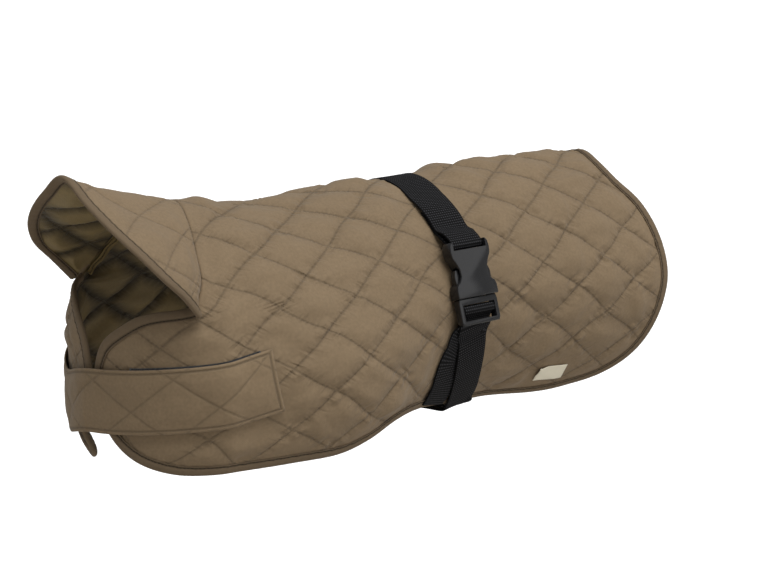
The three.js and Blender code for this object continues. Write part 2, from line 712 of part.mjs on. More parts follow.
function buckleSocket() {
  const bodyShape = plate(FEMALE_OUTLINE, FEMALE_LOW, FEMALE_HIGH, 1.2);
  const hollow = block(-22.6, 22.6, -15, FEMALE_MOUTH + 1, 2.6, 9.6);
  const slot = block(-21, 21, FEMALE_BAR_V + BAR / 2, -30.9, -1, 14);
  const overBar = block(-21, 21, -40, FEMALE_BAR_V + BAR / 2 + 0.01, BUCKLE_MID + BAR / 2, 14);
  const underBar = block(-21, 21, -40, FEMALE_BAR_V + BAR / 2 + 0.01, -1, BUCKLE_MID - BAR / 2);
  const behindBar = block(-21, 21, -40, FEMALE_BAR_V - BAR / 2, -1, 14);
  const cuts = [hollow, slot, overBar, underBar, behindBar];
  return fromSolid(cuts.reduce((body, cut) => body.subtract(cut), bodyShape));
}

function bucklePlug() {
  const base = FEMALE_MOUTH + GAP;
  const frame = plate([[24, base], [25, base + 4], [25, MALE_END - 3], [23, MALE_END]], 2, 9.4, 0.9);
  const window = block(-20.6, 20.6, base + 5.7, MALE_END - 4, 0, 12);
  const half = BAR / 2;
  const bar = block(-21.5, 21.5, MALE_BAR_V - half, MALE_BAR_V + half, BUCKLE_MID - half, BUCKLE_MID + half);
  const guide = plate([[3, -9], [3, base + 1]], 3.4, 8.8, 0);
  const arm = (side) => {
    const outline = PRONG_OUTLINE.map(([u, v]) => V2(side * u, Math.min(v, base + 1)));
    const shape = new THREE.Shape(outline);
    return solid(new THREE.ExtrudeGeometry(shape, { depth: 5.4, bevelEnabled: false }).translate(0, 0, 3.4));
  };
  const joined = [bar, arm(-1), arm(1), guide].reduce((body, more) => body.add(more), frame.subtract(window));
  return fromSolid(joined);
}

// The coat

const coat = new THREE.Group();

function piece(name, geometry, color, roughness, matrix) {
  const mesh = new THREE.Mesh(geometry, new THREE.MeshStandardMaterial({ color, roughness, metalness: 0 }));
  mesh.name = name;
  if (matrix) mesh.applyMatrix4(matrix);
  coat.add(mesh);
}

piece('body_panel', bodyPanel(), COLORS.shell, 0.8);
piece('body_binding', bodyBinding(), COLORS.binding, 0.8);
piece('collar', collar(), COLORS.shell, 0.8);
piece('collar_binding', collarBinding(), COLORS.binding, 0.8);
piece('neck_seam_tape', neckTape(), COLORS.lining, 0.8);
piece('chest_strap', chestStrap(), COLORS.shell, 0.8);
piece('strap_hook_tape', strapTape(HOOK), COLORS.hook, 0.95);
piece('panel_loop_patch', strapTape(PATCH), COLORS.hook, 0.95);
piece('belly_belt', bellyBelt(), COLORS.webbing, 0.85);
piece('buckle_socket', buckleSocket(), COLORS.plastic, 0.5, buckleFrame);
piece('buckle_plug', bucklePlug(), COLORS.plastic, 0.5, buckleFrame);
piece('care_label', label(), COLORS.label, 0.9);

export default coat;
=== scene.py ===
"""A quilted winter coat for a dog, in the shape it has when it is worn.

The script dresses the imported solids: each piece of cloth, tape and webbing is a surface worked out
over the same cut and the same form as the solids. Lengths in the formulas are in millimetres.
"""

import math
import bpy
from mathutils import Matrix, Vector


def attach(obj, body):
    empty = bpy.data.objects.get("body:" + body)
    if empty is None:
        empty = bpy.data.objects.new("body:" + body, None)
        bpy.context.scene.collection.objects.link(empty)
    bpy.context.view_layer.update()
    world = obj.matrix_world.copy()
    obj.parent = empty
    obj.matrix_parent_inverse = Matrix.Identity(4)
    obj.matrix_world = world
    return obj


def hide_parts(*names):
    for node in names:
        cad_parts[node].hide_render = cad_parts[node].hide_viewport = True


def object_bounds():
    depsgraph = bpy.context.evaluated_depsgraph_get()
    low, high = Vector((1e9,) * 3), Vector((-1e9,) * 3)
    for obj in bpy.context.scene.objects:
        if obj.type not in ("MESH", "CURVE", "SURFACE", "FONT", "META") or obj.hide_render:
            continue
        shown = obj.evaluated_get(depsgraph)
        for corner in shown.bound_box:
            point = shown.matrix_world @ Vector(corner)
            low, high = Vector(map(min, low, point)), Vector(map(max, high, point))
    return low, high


bl_info = {
    "name": "Quilted dog coat",
    "version": (1, 0, 0),
    "blender": (4, 5, 0),
    "location": "View3D > Sidebar > Dog coat",
    "description": "Makes the cloth, tapes, webbing, buckle and label of a quilted dog coat",
    "category": "Object",
}

import bmesh
import bpy
import numpy as np
from mathutils import Matrix

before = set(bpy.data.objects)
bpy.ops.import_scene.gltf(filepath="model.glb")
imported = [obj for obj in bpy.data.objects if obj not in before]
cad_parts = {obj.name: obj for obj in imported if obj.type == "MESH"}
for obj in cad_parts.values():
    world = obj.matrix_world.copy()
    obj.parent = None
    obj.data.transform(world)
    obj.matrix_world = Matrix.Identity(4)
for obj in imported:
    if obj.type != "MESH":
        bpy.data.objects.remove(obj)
CAD_BOX = [[float(x) for x in corner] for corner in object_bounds()]

MM = 0.001

# Body form: distance behind the neck, ridge height, half width, fall to the widest place, depth below.
FORM_S = np.array([0.0, 110.0, 230.0, 330.0, 430.0, 520.0])
FORM_TOP = np.array([12.0, 0.0, 6.0, 7.0, 7.0, 4.0])
FORM_WIDE = np.array([119.0, 138.0, 117.0, 104.0, 104.0, 101.0])
FORM_DROP = np.array([146.0, 135.0, 114.0, 102.0, 117.0, 127.0])
FORM_LOW = np.array([161.0, 155.0, 146.0, 140.0, 140.0, 138.0])
NECK_X = -250.0
ROOF_POWER = 1.7
CHEST_REACH = 71.0
CHEST_POWER = 1.6
FORM_STEP = 2.5
# The cloth's inner face is this far inside the form.
INSET = 6.0
# How far the far front corner hangs away from the form.
FAR_CORNER = np.array([10.0, -11.0, -16.0])

# The cut, half of it: s along the back from the neck, t around from the ridge.
NECK_EDGE = [(22, 0), (14, 32), (2, 72), (-9, 106), (-24, 126)]
FRONT_EDGE = [(-57, 138), (-93, 156), (-121, 176), (-133, 200), (-129, 224), (-111, 245), (-85, 261),
              (-49, 270)]
HEM_EDGE = [(0, 271), (60, 275), (112, 278), (143, 272), (180, 260), (225, 259), (275, 268), (324, 277),
            (385, 281), (430, 275), (470, 263), (500, 240), (522, 204), (534, 165)]
REAR_EDGE = [(534, 130), (525, 90), (510, 58), (506, 28), (509, 0)]
# The hem's ends in front and behind: s there, and a t that only the hem reaches.
FRONT_CORNER = (-49.0, 268.0)
REAR_CORNER = (430.0, 272.0)

# Quilting
DIAMOND_LONG = 80.0
DIAMOND_HIGH = 54.8
BODY_CROSSING = (95.0, 0.0)
COLLAR_CROSSING = (14.0, 48.0)
STRAP_CROSSING = (-90.0, -19.0)
# Its lines are this far apart, and cross each other at this spacing along a line.
LINES_APART = 45.2
CROSSINGS_APART = 48.5
# The cloth, the unfilled ring beside its edge, and how far the free edge is let out past the solids'.
CLOTH = 2.0
RING = 8.8
FULLNESS = 7.8
CELLS = 64

# Collar
COLLAR_EDGE = np.array([
    (-341.3, 0, 42.4), (-339.5, 31.7, 24.5), (-333.4, 60.7, 5.2), (-322.6, 84.9, -14),
    (-308.7, 98.5, -33), (-290.1, 100.2, -51.1), (-272.6, 97, -70.5),
])
COLLAR_LONG = 150.0
COLLAR_BULGE = 1.0
COLLAR_SAG = 5.5

# Chest strap: p along it from the front centre, q across it.
STRAP_NEAR = -184.0
STRAP_FAR = 152.0
STRAP_WIDE = 57.0
STRAP_CLOTH = 1.6
STRAP_CLEAR = 5.0
STRAP_SEWN = 3.4
STRAP_LEAN = 0.2
# The row of stitches round the strap: how far from its middle, and from its end, in metres.
STRAP_ROW = 0.0251
STRAP_TURN = 0.0034

# Belly belt and buckle
BELT_WIDE = 40.0
BELT_THICK = 1.6
BELT_EDGE = 0.7
BELT_LINE = np.array([(0, 260), (40, 269), (105, 272), (192, 273), (243, 280), (276, 286)], float)
# How much further back the belt crosses the ridge.
BELT_SHIFT = 16.0
TAIL_LINE = np.array([(192, 264), (219, 252), (246, 248), (275, 240)], float)
ON_CLOTH = 3.9
TAIL_OVER_HEM = 4.5
OVER_HEM = 5.9
SECOND_LAYER = 6.5
BELLY = np.array([(38, 44, -210), (39, 18, -212), (39, -18, -213), (38, -44, -211)], float)
SEAT = (271.0, -146.0, 2.4)
BUCKLE_MID = 5.5
FOLD_RADIUS = 3.7
FEMALE_BAR_V = -35.7
MALE_BAR_V = 24.0

LABEL_S = (385.0, 419.0)
LABEL_T = (250.0, 268.0)


# Settings

class CoatSettings(bpy.types.PropertyGroup):
    """Sizes and colours of the coat."""

    body_puff: bpy.props.FloatProperty(
        name="Body filling", description="Height of the quilted filling on the body",
        default=0.0052, unit="LENGTH")
    collar_puff: bpy.props.FloatProperty(
        name="Collar filling", description="Height of the quilted filling on the collar",
        default=0.0030, unit="LENGTH")
    strap_puff: bpy.props.FloatProperty(
        name="Strap filling", description="Height of the quilted filling on the chest strap",
        default=0.0014, unit="LENGTH")
    lining_puff: bpy.props.FloatProperty(
        name="Lining filling", description="How far the lining bulges inwards between its stitches",
        default=0.0075, unit="LENGTH")
    crease: bpy.props.FloatProperty(
        name="Creases", description="Depth of the small creases beside the quilting",
        default=0.0013, unit="LENGTH")
    stitch: bpy.props.FloatProperty(
        name="Stitch", description="Length of one stitch with its gap",
        default=0.0036, unit="LENGTH")
    shell_colour: bpy.props.FloatVectorProperty(
        name="Shell", description="Colour of the outer cloth", subtype="COLOR",
        default=(0.250, 0.179, 0.106))
    lining_colour: bpy.props.FloatVectorProperty(
        name="Lining", description="Colour of the lining", subtype="COLOR",
        default=(0.235, 0.170, 0.072))
    binding_colour: bpy.props.FloatVectorProperty(
        name="Binding", description="Colour of the edge binding", subtype="COLOR",
        default=(0.185, 0.135, 0.085))
    webbing_colour: bpy.props.FloatVectorProperty(
        name="Webbing", description="Colour of the belt", subtype="COLOR",
        default=(0.0065, 0.0065, 0.007))
    plastic_colour: bpy.props.FloatVectorProperty(
        name="Plastic", description="Colour of the buckle", subtype="COLOR",
        default=(0.010, 0.010, 0.011))
    label_colour: bpy.props.FloatVectorProperty(
        name="Label", description="Colour of the sewn-in label", subtype="COLOR",
        default=(0.95, 0.88, 0.70))


def settings():
    return bpy.context.scene.coat_settings


# Curves and tables

def eased(xs, ys, at):
    """Cubic through a table, level at both ends; each inner slope is that of its two neighbours."""
    slopes = np.zeros(len(xs))
    slopes[1:-1] = (ys[2:] - ys[:-2]) / (xs[2:] - xs[:-2])
    at = np.clip(at, xs[0], xs[-1])
    i = np.clip(np.searchsorted(xs, at, side="right") - 1, 0, len(xs) - 2)
    step = xs[i + 1] - xs[i]
    u = (at - xs[i]) / step
    v = 1 - u
    return (v * v * (1 + 2 * u) * ys[i] + u * u * (1 + 2 * v) * ys[i + 1]
            + u * v * v * step * slopes[i] - u * u * v * step * slopes[i + 1])


def ramp(x, start, end):
    """0 before start, 1 after end, and 3u^2 - 2u^3 between them."""
    u = np.clip((x - start) / (end - start), 0, 1)
    return u * u * (3 - 2 * u)


def looked_up(table, row, column):
    """Value between four entries of a table, in proportion to the distances from them."""
    row = np.clip(row, 0, table.shape[0] - 1.001)
    column = np.clip(column, 0, table.shape[1] - 1.001)
    i = row.astype(int)
    j = column.astype(int)
    u = row - i
    v = column - j
    return ((1 - u) * ((1 - v) * table[i, j] + v * table[i, j + 1])
            + u * ((1 - v) * table[i + 1, j] + v * table[i + 1, j + 1]))


def smooth_path(points, per_span=40):
    """Curve through points, centripetal Catmull-Rom: a cubic for each span, knots by root distance."""
    p = np.array(points, float)
    p = np.vstack([2 * p[0] - p[1], p, 2 * p[-1] - p[-2]])
    knots = np.sqrt(np.linalg.norm(np.diff(p, axis=0), axis=1))[:, None]
    p0, p1, p2, p3 = p[:-3], p[1:-2], p[2:-1], p[3:]
    k0, k1, k2 = knots[:-2], knots[1:-1], knots[2:]
    m1 = ((p1 - p0) / k0 - (p2 - p0) / (k0 + k1) + (p2 - p1) / k1) * k1
    m2 = ((p2 - p1) / k1 - (p3 - p1) / (k1 + k2) + (p3 - p2) / k2) * k1
    u = np.linspace(0, 1, per_span, endpoint=False)[None, :, None]
    curve = ((2 * u**3 - 3 * u**2 + 1) * p1[:, None] + (u**3 - 2 * u**2 + u) * m1[:, None]
             + (3 * u**2 - 2 * u**3) * p2[:, None] + (u**3 - u**2) * m2[:, None])
    return np.vstack([curve.reshape(-1, p.shape[1]), p2[-1:]])


def lengths_along(path):
    return np.concatenate([[0.0], np.cumsum(np.linalg.norm(np.diff(path, axis=0), axis=1))])


def at_lengths(path, where):
    """Points of a path at given lengths along it."""
    arc = lengths_along(path)
    return np.stack([np.interp(where, arc, path[:, k]) for k in range(path.shape[1])], axis=-1)


def unit(v):
    return v / np.maximum(np.linalg.norm(v, axis=-1, keepdims=True), 1e-9)


# The form the coat is carried by

def section_tables():
    """Half width and height over s and t.

    A roof y = wide sin(a)^(2/p), z = top - drop + drop cos(a)^(2/p) over a quarter ellipse below it,
    read off by the length t around it.
    """
    s = np.arange(0, 566, FORM_STEP)
    top, wide, drop, low = (
        eased(FORM_S, column, s)[:, None] for column in (FORM_TOP, FORM_WIDE, FORM_DROP, FORM_LOW))
    a = np.linspace(0, math.pi / 2, 401)[None, :]
    power = 2 / ROOF_POWER
    y = np.hstack([wide * np.sin(a) ** power, wide * np.cos(a[:, 1:])])
    roof = top - drop + drop * np.maximum(np.cos(a), 0) ** power
    z = np.hstack([roof, top - drop - low * np.sin(a[:, 1:])])
    run = np.hypot(np.diff(y, axis=1), np.diff(z, axis=1))
    arc = np.hstack([np.zeros((len(s), 1)), np.cumsum(run, axis=1)])
    t = np.arange(0, 331.0)
    halves = np.array([np.interp(t, arc[i], y[i]) for i in range(len(s))])
    heights = np.array([np.interp(t, arc[i], z[i]) for i in range(len(s))])
    return halves, heights


def chest_tables():
    """Plan of the chest in front of the neck for each half width, by the length along it.

    x = reach sin(a)^(2/p), y = half cos(a)^(2/p).
    """
    half = np.arange(0, 151.0)
    a = np.linspace(0, math.pi / 2, 601)
    power = 2 / CHEST_POWER
    x = CHEST_REACH * np.sin(a) ** power
    shape = np.maximum(np.cos(a), 0) ** power
    share = np.linspace(0, 1, 241)
    reach = []
    side = []
    total = []
    for h in half:
        arc = lengths_along(np.stack([x, h * shape], axis=-1))
        reach.append(np.interp(share * arc[-1], arc, x))
        side.append(np.interp(share * arc[-1], arc, h * shape))
        total.append(arc[-1])
    return np.array(reach), np.array(side), np.array(total)


HALVES, HEIGHTS = section_tables()
REACH, SIDE, CHEST_LENGTH = chest_tables()


def skin(s, t):
    """The form at s along the back and t around it, fitted to the coat's outside."""
    s, t = np.broadcast_arrays(np.asarray(s, float), np.asarray(t, float))
    row = np.maximum(s, 0) / FORM_STEP
    half = looked_up(HALVES, row, np.abs(t))
    z = looked_up(HEIGHTS, row, np.abs(t))
    long = np.interp(half, np.arange(len(CHEST_LENGTH)), CHEST_LENGTH)
    share = np.clip(-s / long, 0, 1) * (REACH.shape[1] - 1)
    chest = s < 0
    x = NECK_X + np.where(chest, -looked_up(REACH, half, share), s)
    y = np.where(chest, looked_up(SIDE, half, share), half)
    return np.stack([x, np.where(t < 0, -y, y), z], axis=-1)


def waves(p, q, seed, size, count=7):
    """Even-strength ripples: a sum of sines that run in different directions over p and q."""
    rng = np.random.default_rng(seed)
    total = np.zeros(np.broadcast(p, q).shape)
    for _ in range(count):
        way = rng.uniform(0, math.tau)
        wide = size * rng.uniform(0.7, 1.5)
        phase = rng.uniform(0, math.tau)
        total += np.sin((p * math.cos(way) + q * math.sin(way)) * math.tau / wide + phase)
    return total / math.sqrt(count)


def belt_middle(t):
    """Where along the back the belt's middle runs; over the ridge it lies a little further back."""
    return eased(BELT_LINE[:, 0], BELT_LINE[:, 1], np.abs(t)) + BELT_SHIFT * ramp(t, -70, 0) * (
        1 - ramp(t, 60, 200))


def worn(s, t):
    """The form with the slack of real cloth: the skin moved in and out by long soft waves.

    The belt draws it in, and the ridge stands up a little behind the neck seam.
    """
    away = np.hypot(s - SEAT[0], (t - SEAT[1]) * 0.8)
    slack = 0.9 * waves(s, t, 3, 150) * ramp(away, 60, 130) * ramp(np.abs(t), 0, 60)
    slack -= 3.6 * np.exp(-((s - belt_middle(t)) / 28) ** 2) * ramp(away, 60, 95) * (
        1 - ramp(np.abs(t), 200, 250))
    slack += 4.0 * np.exp(-((s - 26) / 24) ** 2 - (t / 50) ** 2)
    point = skin(s, t)
    e = 2.0
    one = skin(s + e, t) - skin(s - e, t)
    two = skin(s, t + e) - skin(s, t - e)
    return point + unit(np.cross(one, two)) * slack[..., None]


def hung(s, t):
    """The same, with the free corner in front on the far side hanging lower than the near one."""
    corner = ramp(t, 240, 264) * ramp(-s, 30, 76) * (1 - ramp(-s, 90, 118))
    return worn(s, t) + corner[..., None] * FAR_CORNER


def lift(surface, p, q, h):
    """A point h over the cloth's inner face: the surface moved by h - INSET along its normal."""
    e = 1.6
    one = surface(p + e, q) - surface(p - e, q)
    two = surface(p, q + e) - surface(p, q - e)
    return surface(p, q) + unit(np.cross(one, two)) * (np.asarray(h) - INSET)[..., None]


def strap_middle(p):
    """How far around from the ridge the strap's middle runs; on the far side it is sewn on lower."""
    return 222 - 0.13 * np.hypot(p, 20) + 22 * ramp(p, -10, 70)


def strap_skin(run, q):
    """The same form along the chest strap from the front centre; near its end its lines lean."""
    p, q = np.broadcast_arrays(np.asarray(run, float), np.asarray(q, float))
    p = p - STRAP_LEAN * q * ramp(-p, 146, 182)
    t = strap_middle(p) + q
    half = looked_up(HALVES, np.zeros_like(t), t)
    nose = np.interp(half, np.arange(len(CHEST_LENGTH)), CHEST_LENGTH)
    return worn(np.abs(p) - nose, np.where(p < 0, -t, t))


# The cut

def mirrored(rows):
    return [(s, -t) for s, t in reversed(rows)]


def ways_in(path, side):
    """Unit vectors into the cloth at each point of an edge, square to it."""
    run = unit(np.gradient(path, axis=0))
    return np.stack([-run[:, 1], run[:, 0]], axis=-1) * side


def let_out(path, by):
    """An edge moved outwards, by nothing at its two ends."""
    arc = lengths_along(path)
    share = ramp(arc, 0, 60) * ramp(arc[-1] - arc, 0, 60)
    return path - ways_in(path, -1.0) * (by * share)[:, None]


RIM = FRONT_EDGE + HEM_EDGE + REAR_EDGE
NECK_CURVE = smooth_path(mirrored(NECK_EDGE) + NECK_EDGE[1:], 80)
FREE_CURVE = let_out(
    smooth_path([NECK_EDGE[-1]] + RIM + mirrored(RIM)[1:] + mirrored(NECK_EDGE)[:1], 60), FULLNESS)
CUT_LOOP = np.vstack([FREE_CURVE, NECK_CURVE[1:-1]])


def distance_to(loop, p, q, spacing=3.0):
    """Least distance from each point to points spaced evenly along a line of the cut."""
    marks = at_lengths(loop, np.arange(0, lengths_along(loop)[-1], spacing))
    flat = np.stack([p.ravel(), q.ravel()], axis=-1)
    least = np.empty(len(flat))
    for i in range(0, len(flat), 20000):
        block = flat[i:i + 20000]
        square = ((block[:, None, 0] - marks[None, :, 0]) ** 2
                  + (block[:, None, 1] - marks[None, :, 1]) ** 2)
        least[i:i + 20000] = np.sqrt(square.min(axis=1))
    return least.reshape(p.shape)


def body_cut(rows, columns):
    """s and t over the cut: t = b hem(s), and s runs from the front edge to the rear edge."""
    half = FREE_CURVE[: len(FREE_CURVE) // 2 + 1]

    def corner_at(s, least_t):
        return int(np.argmin(np.abs(half[:, 0] - s) + 1000 * (half[:, 1] < least_t)))

    corner = corner_at(*FRONT_CORNER)
    rear = corner_at(*REAR_CORNER)
    hem = half[corner:rear + 1]
    neck = NECK_CURVE[len(NECK_CURVE) // 2:]
    front = np.vstack([neck, half[1:corner + 1]])

    def hem_at(s):
        return np.interp(s, hem[:, 0], hem[:, 1])

    front_b = front[:, 1] / hem_at(front[:, 0])
    tail = half[rear:][::-1]
    tail_b = tail[:, 1] / hem_at(tail[:, 0])
    b = np.linspace(-1, 1, columns)
    b = np.sin(0.9 * b) / math.sin(0.9)
    corner_b = NECK_EDGE[-1][1] / hem_at(NECK_EDGE[-1][0])
    b[np.argmin(np.abs(b - corner_b))] = corner_b
    b[np.argmin(np.abs(b + corner_b))] = -corner_b
    first = np.interp(np.abs(b), np.maximum.accumulate(front_b), front[:, 0])
    last = np.interp(np.abs(b), np.maximum.accumulate(tail_b), tail[:, 0])
    a = np.linspace(0, 1, rows)[:, None]
    s = first[None, :] + a * (last - first)[None, :]
    return s, b[None, :] * hem_at(s)


def quilt_place(p, q, crossing):
    """Lattice numbers of a point: each is whole on one family of the quilting's lines."""
    along = (p - crossing[0]) / DIAMOND_LONG
    across = (q - crossing[1]) / DIAMOND_HIGH
    return along + across, along - across


def pillow(u, v, power=0.5):
    """Height of the filling: the root of |sin(pi u) sin(pi v)|, 0 on a line and 1 in a middle."""
    return np.abs(np.sin(math.pi * u) * np.sin(math.pi * v)) ** power


def creases(u, v, seed=0.0):
    """Small folds square to each stitched line, strongest close beside it."""
    total = np.zeros(u.shape)
    for across, along, turn in ((u, v, 0.0), (v, u, 2.1)):
        line = np.round(across)
        off = np.abs(across - line) * LINES_APART
        run = along * CROSSINGS_APART
        phase = 7.3 * line + turn + seed
        ripple = (np.sin(run * math.tau / 14.5 + phase + 1.7 * np.sin(run * math.tau / 43 + 2 * phase))
                  + 0.9 * np.sin(run * math.tau / 24 + 1.9 * phase + 1.2 * np.sin(run / 9.1 + phase)))
        gather = 0.5 + 0.5 * np.cos(math.tau * along)
        total += ripple * gather * np.exp(-(off / 9) ** 2) * (1 - np.exp(-(off / 2.6) ** 2))
    return total


def crumple(u, v, seed):
    """A soft fold through each diamond, each in its own direction, and 0 at the stitched lines."""
    rng = np.random.default_rng(seed)
    i = np.floor(u).astype(int) % CELLS
    j = np.floor(v).astype(int) % CELLS
    turn, phase = rng.uniform(0, math.tau, (2, CELLS, CELLS))
    wide = rng.uniform(0.5, 1.1, (CELLS, CELLS))[i, j]
    across = (u - np.floor(u)) * np.cos(turn[i, j]) + (v - np.floor(v)) * np.sin(turn[i, j])
    fold = np.sin(across * math.tau / wide + phase[i, j])
    return (fold - 0.5 * fold ** 3) * pillow(u, v, 0.7)


def pressed(s, t):
    """Where the belt, the strap and the label press the filling flat: 0 under them, 1 away."""
    away = np.abs(t)
    middle = belt_middle(t)
    tail = np.where((t < 0) & (away > 170), eased(TAIL_LINE[:, 0], TAIL_LINE[:, 1], away) - 22, middle)
    belt = np.maximum(np.maximum(s - middle - 27, np.minimum(middle - 27, tail) - s), 0)
    half = looked_up(HALVES, np.zeros_like(away), away)
    p = (s + np.interp(half, np.arange(len(CHEST_LENGTH)), CHEST_LENGTH)) * np.where(t < 0, -1, 1)
    beyond = np.maximum(np.maximum(STRAP_NEAR - p, p - STRAP_FAR), 0)
    aside = np.maximum(np.abs(away - strap_middle(p)) - STRAP_WIDE / 2, 0)
    strap = np.hypot(beyond, aside)
    label = np.hypot(
        np.maximum(np.maximum(LABEL_S[0] - s, s - LABEL_S[1]), 0), np.maximum(LABEL_T[0] - away, 0))
    label = np.where(t > 0, 99, label)
    return np.minimum(np.minimum(ramp(belt, 1, 24), ramp(strap, 6, 28)), ramp(label, 6, 20))


# Meshes

def put_mesh(name, points, faces, uv, quilt=None, groups=None):
    """A piece from points in millimetres and arrays of faces; uv and quilt are given per point."""
    mesh = bpy.data.meshes.new(name)
    mesh.vertices.add(len(points))
    mesh.vertices.foreach_set("co", (points * MM).ravel())
    corners = np.concatenate([f.ravel() for f in faces])
    sizes = np.concatenate([np.full(len(f), f.shape[1]) for f in faces])
    starts = np.concatenate([[0], np.cumsum(sizes)[:-1]])
    mesh.loops.add(len(corners))
    mesh.loops.foreach_set("vertex_index", corners)
    mesh.polygons.add(len(sizes))
    mesh.polygons.foreach_set("loop_start", starts)
    mesh.polygons.foreach_set("use_smooth", np.ones(len(sizes), bool))
    if groups is not None:
        mesh.polygons.foreach_set("material_index", groups)
    mesh.update(calc_edges=True)
    for title, values in (("cloth", uv), ("quilt", quilt)):
        if values is not None:
            layer = mesh.uv_layers.new(name=title)
            layer.data.foreach_set("uv", values[corners].ravel())
    piece = bpy.data.objects.new(name, mesh)
    bpy.context.scene.collection.objects.link(piece)
    return piece


def grid_faces(rows, columns, start=0, flip=False):
    i, j = np.meshgrid(np.arange(rows - 1), np.arange(columns - 1), indexing="ij")
    a = (start + i * columns + j).ravel()
    quad = np.stack([a, a + columns, a + columns + 1, a + 1], axis=-1)
    return quad[:, ::-1] if flip else quad


def rim_of(rows, columns, step=1):
    """Numbers of the points round a grid, anticlockwise from its first corner."""
    i = np.arange(0, rows, step)
    j = np.arange(0, columns, step)
    return np.concatenate([
        i[:-1] * columns, (rows - 1) * columns + j[:-1],
        i[:0:-1] * columns + columns - 1, j[:0:-1],
    ])


def cloth_wall(name, outer, inner, outer_uv, outer_quilt):
    """A closed wall: a fine outer face, an inner face with half its lines, and an edge between them."""
    rows, columns = outer.shape[:2]
    few_rows, few_columns = inner.shape[:2]
    start = rows * columns
    faces_out = grid_faces(rows, columns)
    faces_in = grid_faces(few_rows, few_columns, start, flip=True)
    fine = rim_of(rows, columns)
    coarse = start + rim_of(few_rows, few_columns)
    k = np.arange(len(coarse))
    side = np.stack([
        fine[(2 * k + 2) % len(fine)], fine[2 * k + 1], fine[2 * k], coarse,
        coarse[(k + 1) % len(coarse)],
    ], axis=-1)
    points = np.vstack([outer.reshape(-1, 3), inner.reshape(-1, 3)])
    uv = np.vstack([outer_uv.reshape(-1, 2), outer_uv[::2, ::2].reshape(-1, 2)])
    quilt = np.vstack([outer_quilt.reshape(-1, 2), outer_quilt[::2, ::2].reshape(-1, 2)])
    groups = np.concatenate([np.zeros(len(faces_out)), np.ones(len(faces_in)), np.zeros(len(side))])
    return put_mesh(name, points, [faces_out, faces_in, side], uv, quilt, groups.astype(np.int32))


def swept(name, rings, along, around):
    """A bar through closed rings: each ring's points join the next ring's, and the ends are capped."""
    count, size = rings.shape[:2]
    i, k = np.meshgrid(np.arange(count - 1), np.arange(size), indexing="ij")
    a = (i * size + k).ravel()
    b = (i * size + (k + 1) % size).ravel()
    quads = np.stack([a, b, b + size, a + size], axis=-1)
    caps = np.stack([np.arange(size)[::-1], (count - 1) * size + np.arange(size)])
    points = rings.reshape(-1, 3)
    middle = points.mean(axis=0)
    p = points[quads] - middle
    volume = np.einsum("ij,ij->i", p[:, 0], np.cross(p[:, 1], p[:, 2]))
    volume = volume.sum() + np.einsum("ij,ij->i", p[:, 0], np.cross(p[:, 2], p[:, 3])).sum()
    faces = [quads, caps]
    if volume < 0:
        faces = [quads[:, ::-1], caps[:, ::-1]]
    uv = np.stack(np.broadcast_arrays(along[:, None], around[None, :]), axis=-1).reshape(-1, 2) * MM
    return put_mesh(name, points, faces, uv)


def tape_section():
    """Section of a tape folded round the cloth's edge: an outer and an inner line 0.9 mm apart."""
    turn = np.linspace(-math.pi / 2, math.pi / 2, 9)
    flat = np.array([9.0, 8.4, 7.6, 6.8, 5.6, 4.2, 2.8])
    out_x = np.concatenate([flat, 1.0 - 2.15 * np.cos(turn[1:-1]), flat[::-1]])
    dome = 0.35 * np.sin(math.pi * np.clip(flat / 7.4, 0, 1)) - 0.25 * np.exp(-((flat - 7.3) / 0.7) ** 2)
    out_y = np.concatenate([-1.15 - dome * 0.6, 1.0 + 2.15 * np.sin(turn[1:-1]), (3.15 + dome)[::-1]])
    in_x = np.array([8.9, 6.0, 3.0, 0.0, -0.2, -0.2, 0.0, 3.0, 6.0, 8.9])
    in_y = np.array([2.35, 2.3, 2.3, 2.3, 2.0, 0.0, -0.3, -0.3, -0.3, -0.35])
    x = np.concatenate([out_x, in_x])
    y = np.concatenate([out_y, in_y])
    return x, y


def folded_tape(name, edge, ways, surface, pucker=0.22):
    """The tape's section carried along an edge, raised and lowered by small puckers."""
    x, y = tape_section()
    arc = lengths_along(edge)
    ripple = (np.sin(arc * math.tau / 7.9 + 1.5 * np.sin(arc / 17))
              + 0.7 * np.sin(arc * math.tau / 13.3 + 2 * np.sin(arc / 29)))
    amount = pucker * ripple[:, None] * ramp(x, 0, 3)[None, :] * np.sign(y - 1)[None, :]
    p = edge[:, 0, None] + ways[:, 0, None] * x[None, :]
    q = edge[:, 1, None] + ways[:, 1, None] * x[None, :]
    rings = lift(surface, p, q, y[None, :] + amount)
    around = np.where(y > 1, x, -x)
    return swept(name, rings, arc, around)


# Materials

def add(tree, kind, options=None, **inputs):
    """A node with its options set; an input is named, or numbered as in i0, and takes a value or a link."""
    node = tree.nodes.new(kind)
    for key, value in (options or {}).items():
        setattr(node, key, value)
    for key, value in inputs.items():
        socket = node.inputs[int(key[1:])] if key[0] == "i" and key[1:].isdigit() else (
            node.inputs[key.replace("_", " ")])
        if isinstance(value, bpy.types.NodeSocket):
            tree.links.new(value, socket)
        else:
            socket.default_value = value
    return node


def sums(tree, operation, one, two=0.5, three=0.0):
    """One Math node; each value is a number or another node's socket."""
    node = add(tree, "ShaderNodeMath", {"operation": operation})
    for socket, value in zip(node.inputs, (one, two, three)):
        if isinstance(value, bpy.types.NodeSocket):
            tree.links.new(value, socket)
        else:
            socket.default_value = value
    return node.outputs[0]


def mixed(tree, share, one, two, blend="MIX"):
    """A colour between two others."""
    node = add(tree, "ShaderNodeMix", {"data_type": "RGBA", "blend_type": blend})
    for index, value in ((0, share), (6, one), (7, two)):
        if isinstance(value, bpy.types.NodeSocket):
            tree.links.new(value, node.inputs[index])
        else:
            node.inputs[index].default_value = value
    return node.outputs[2]


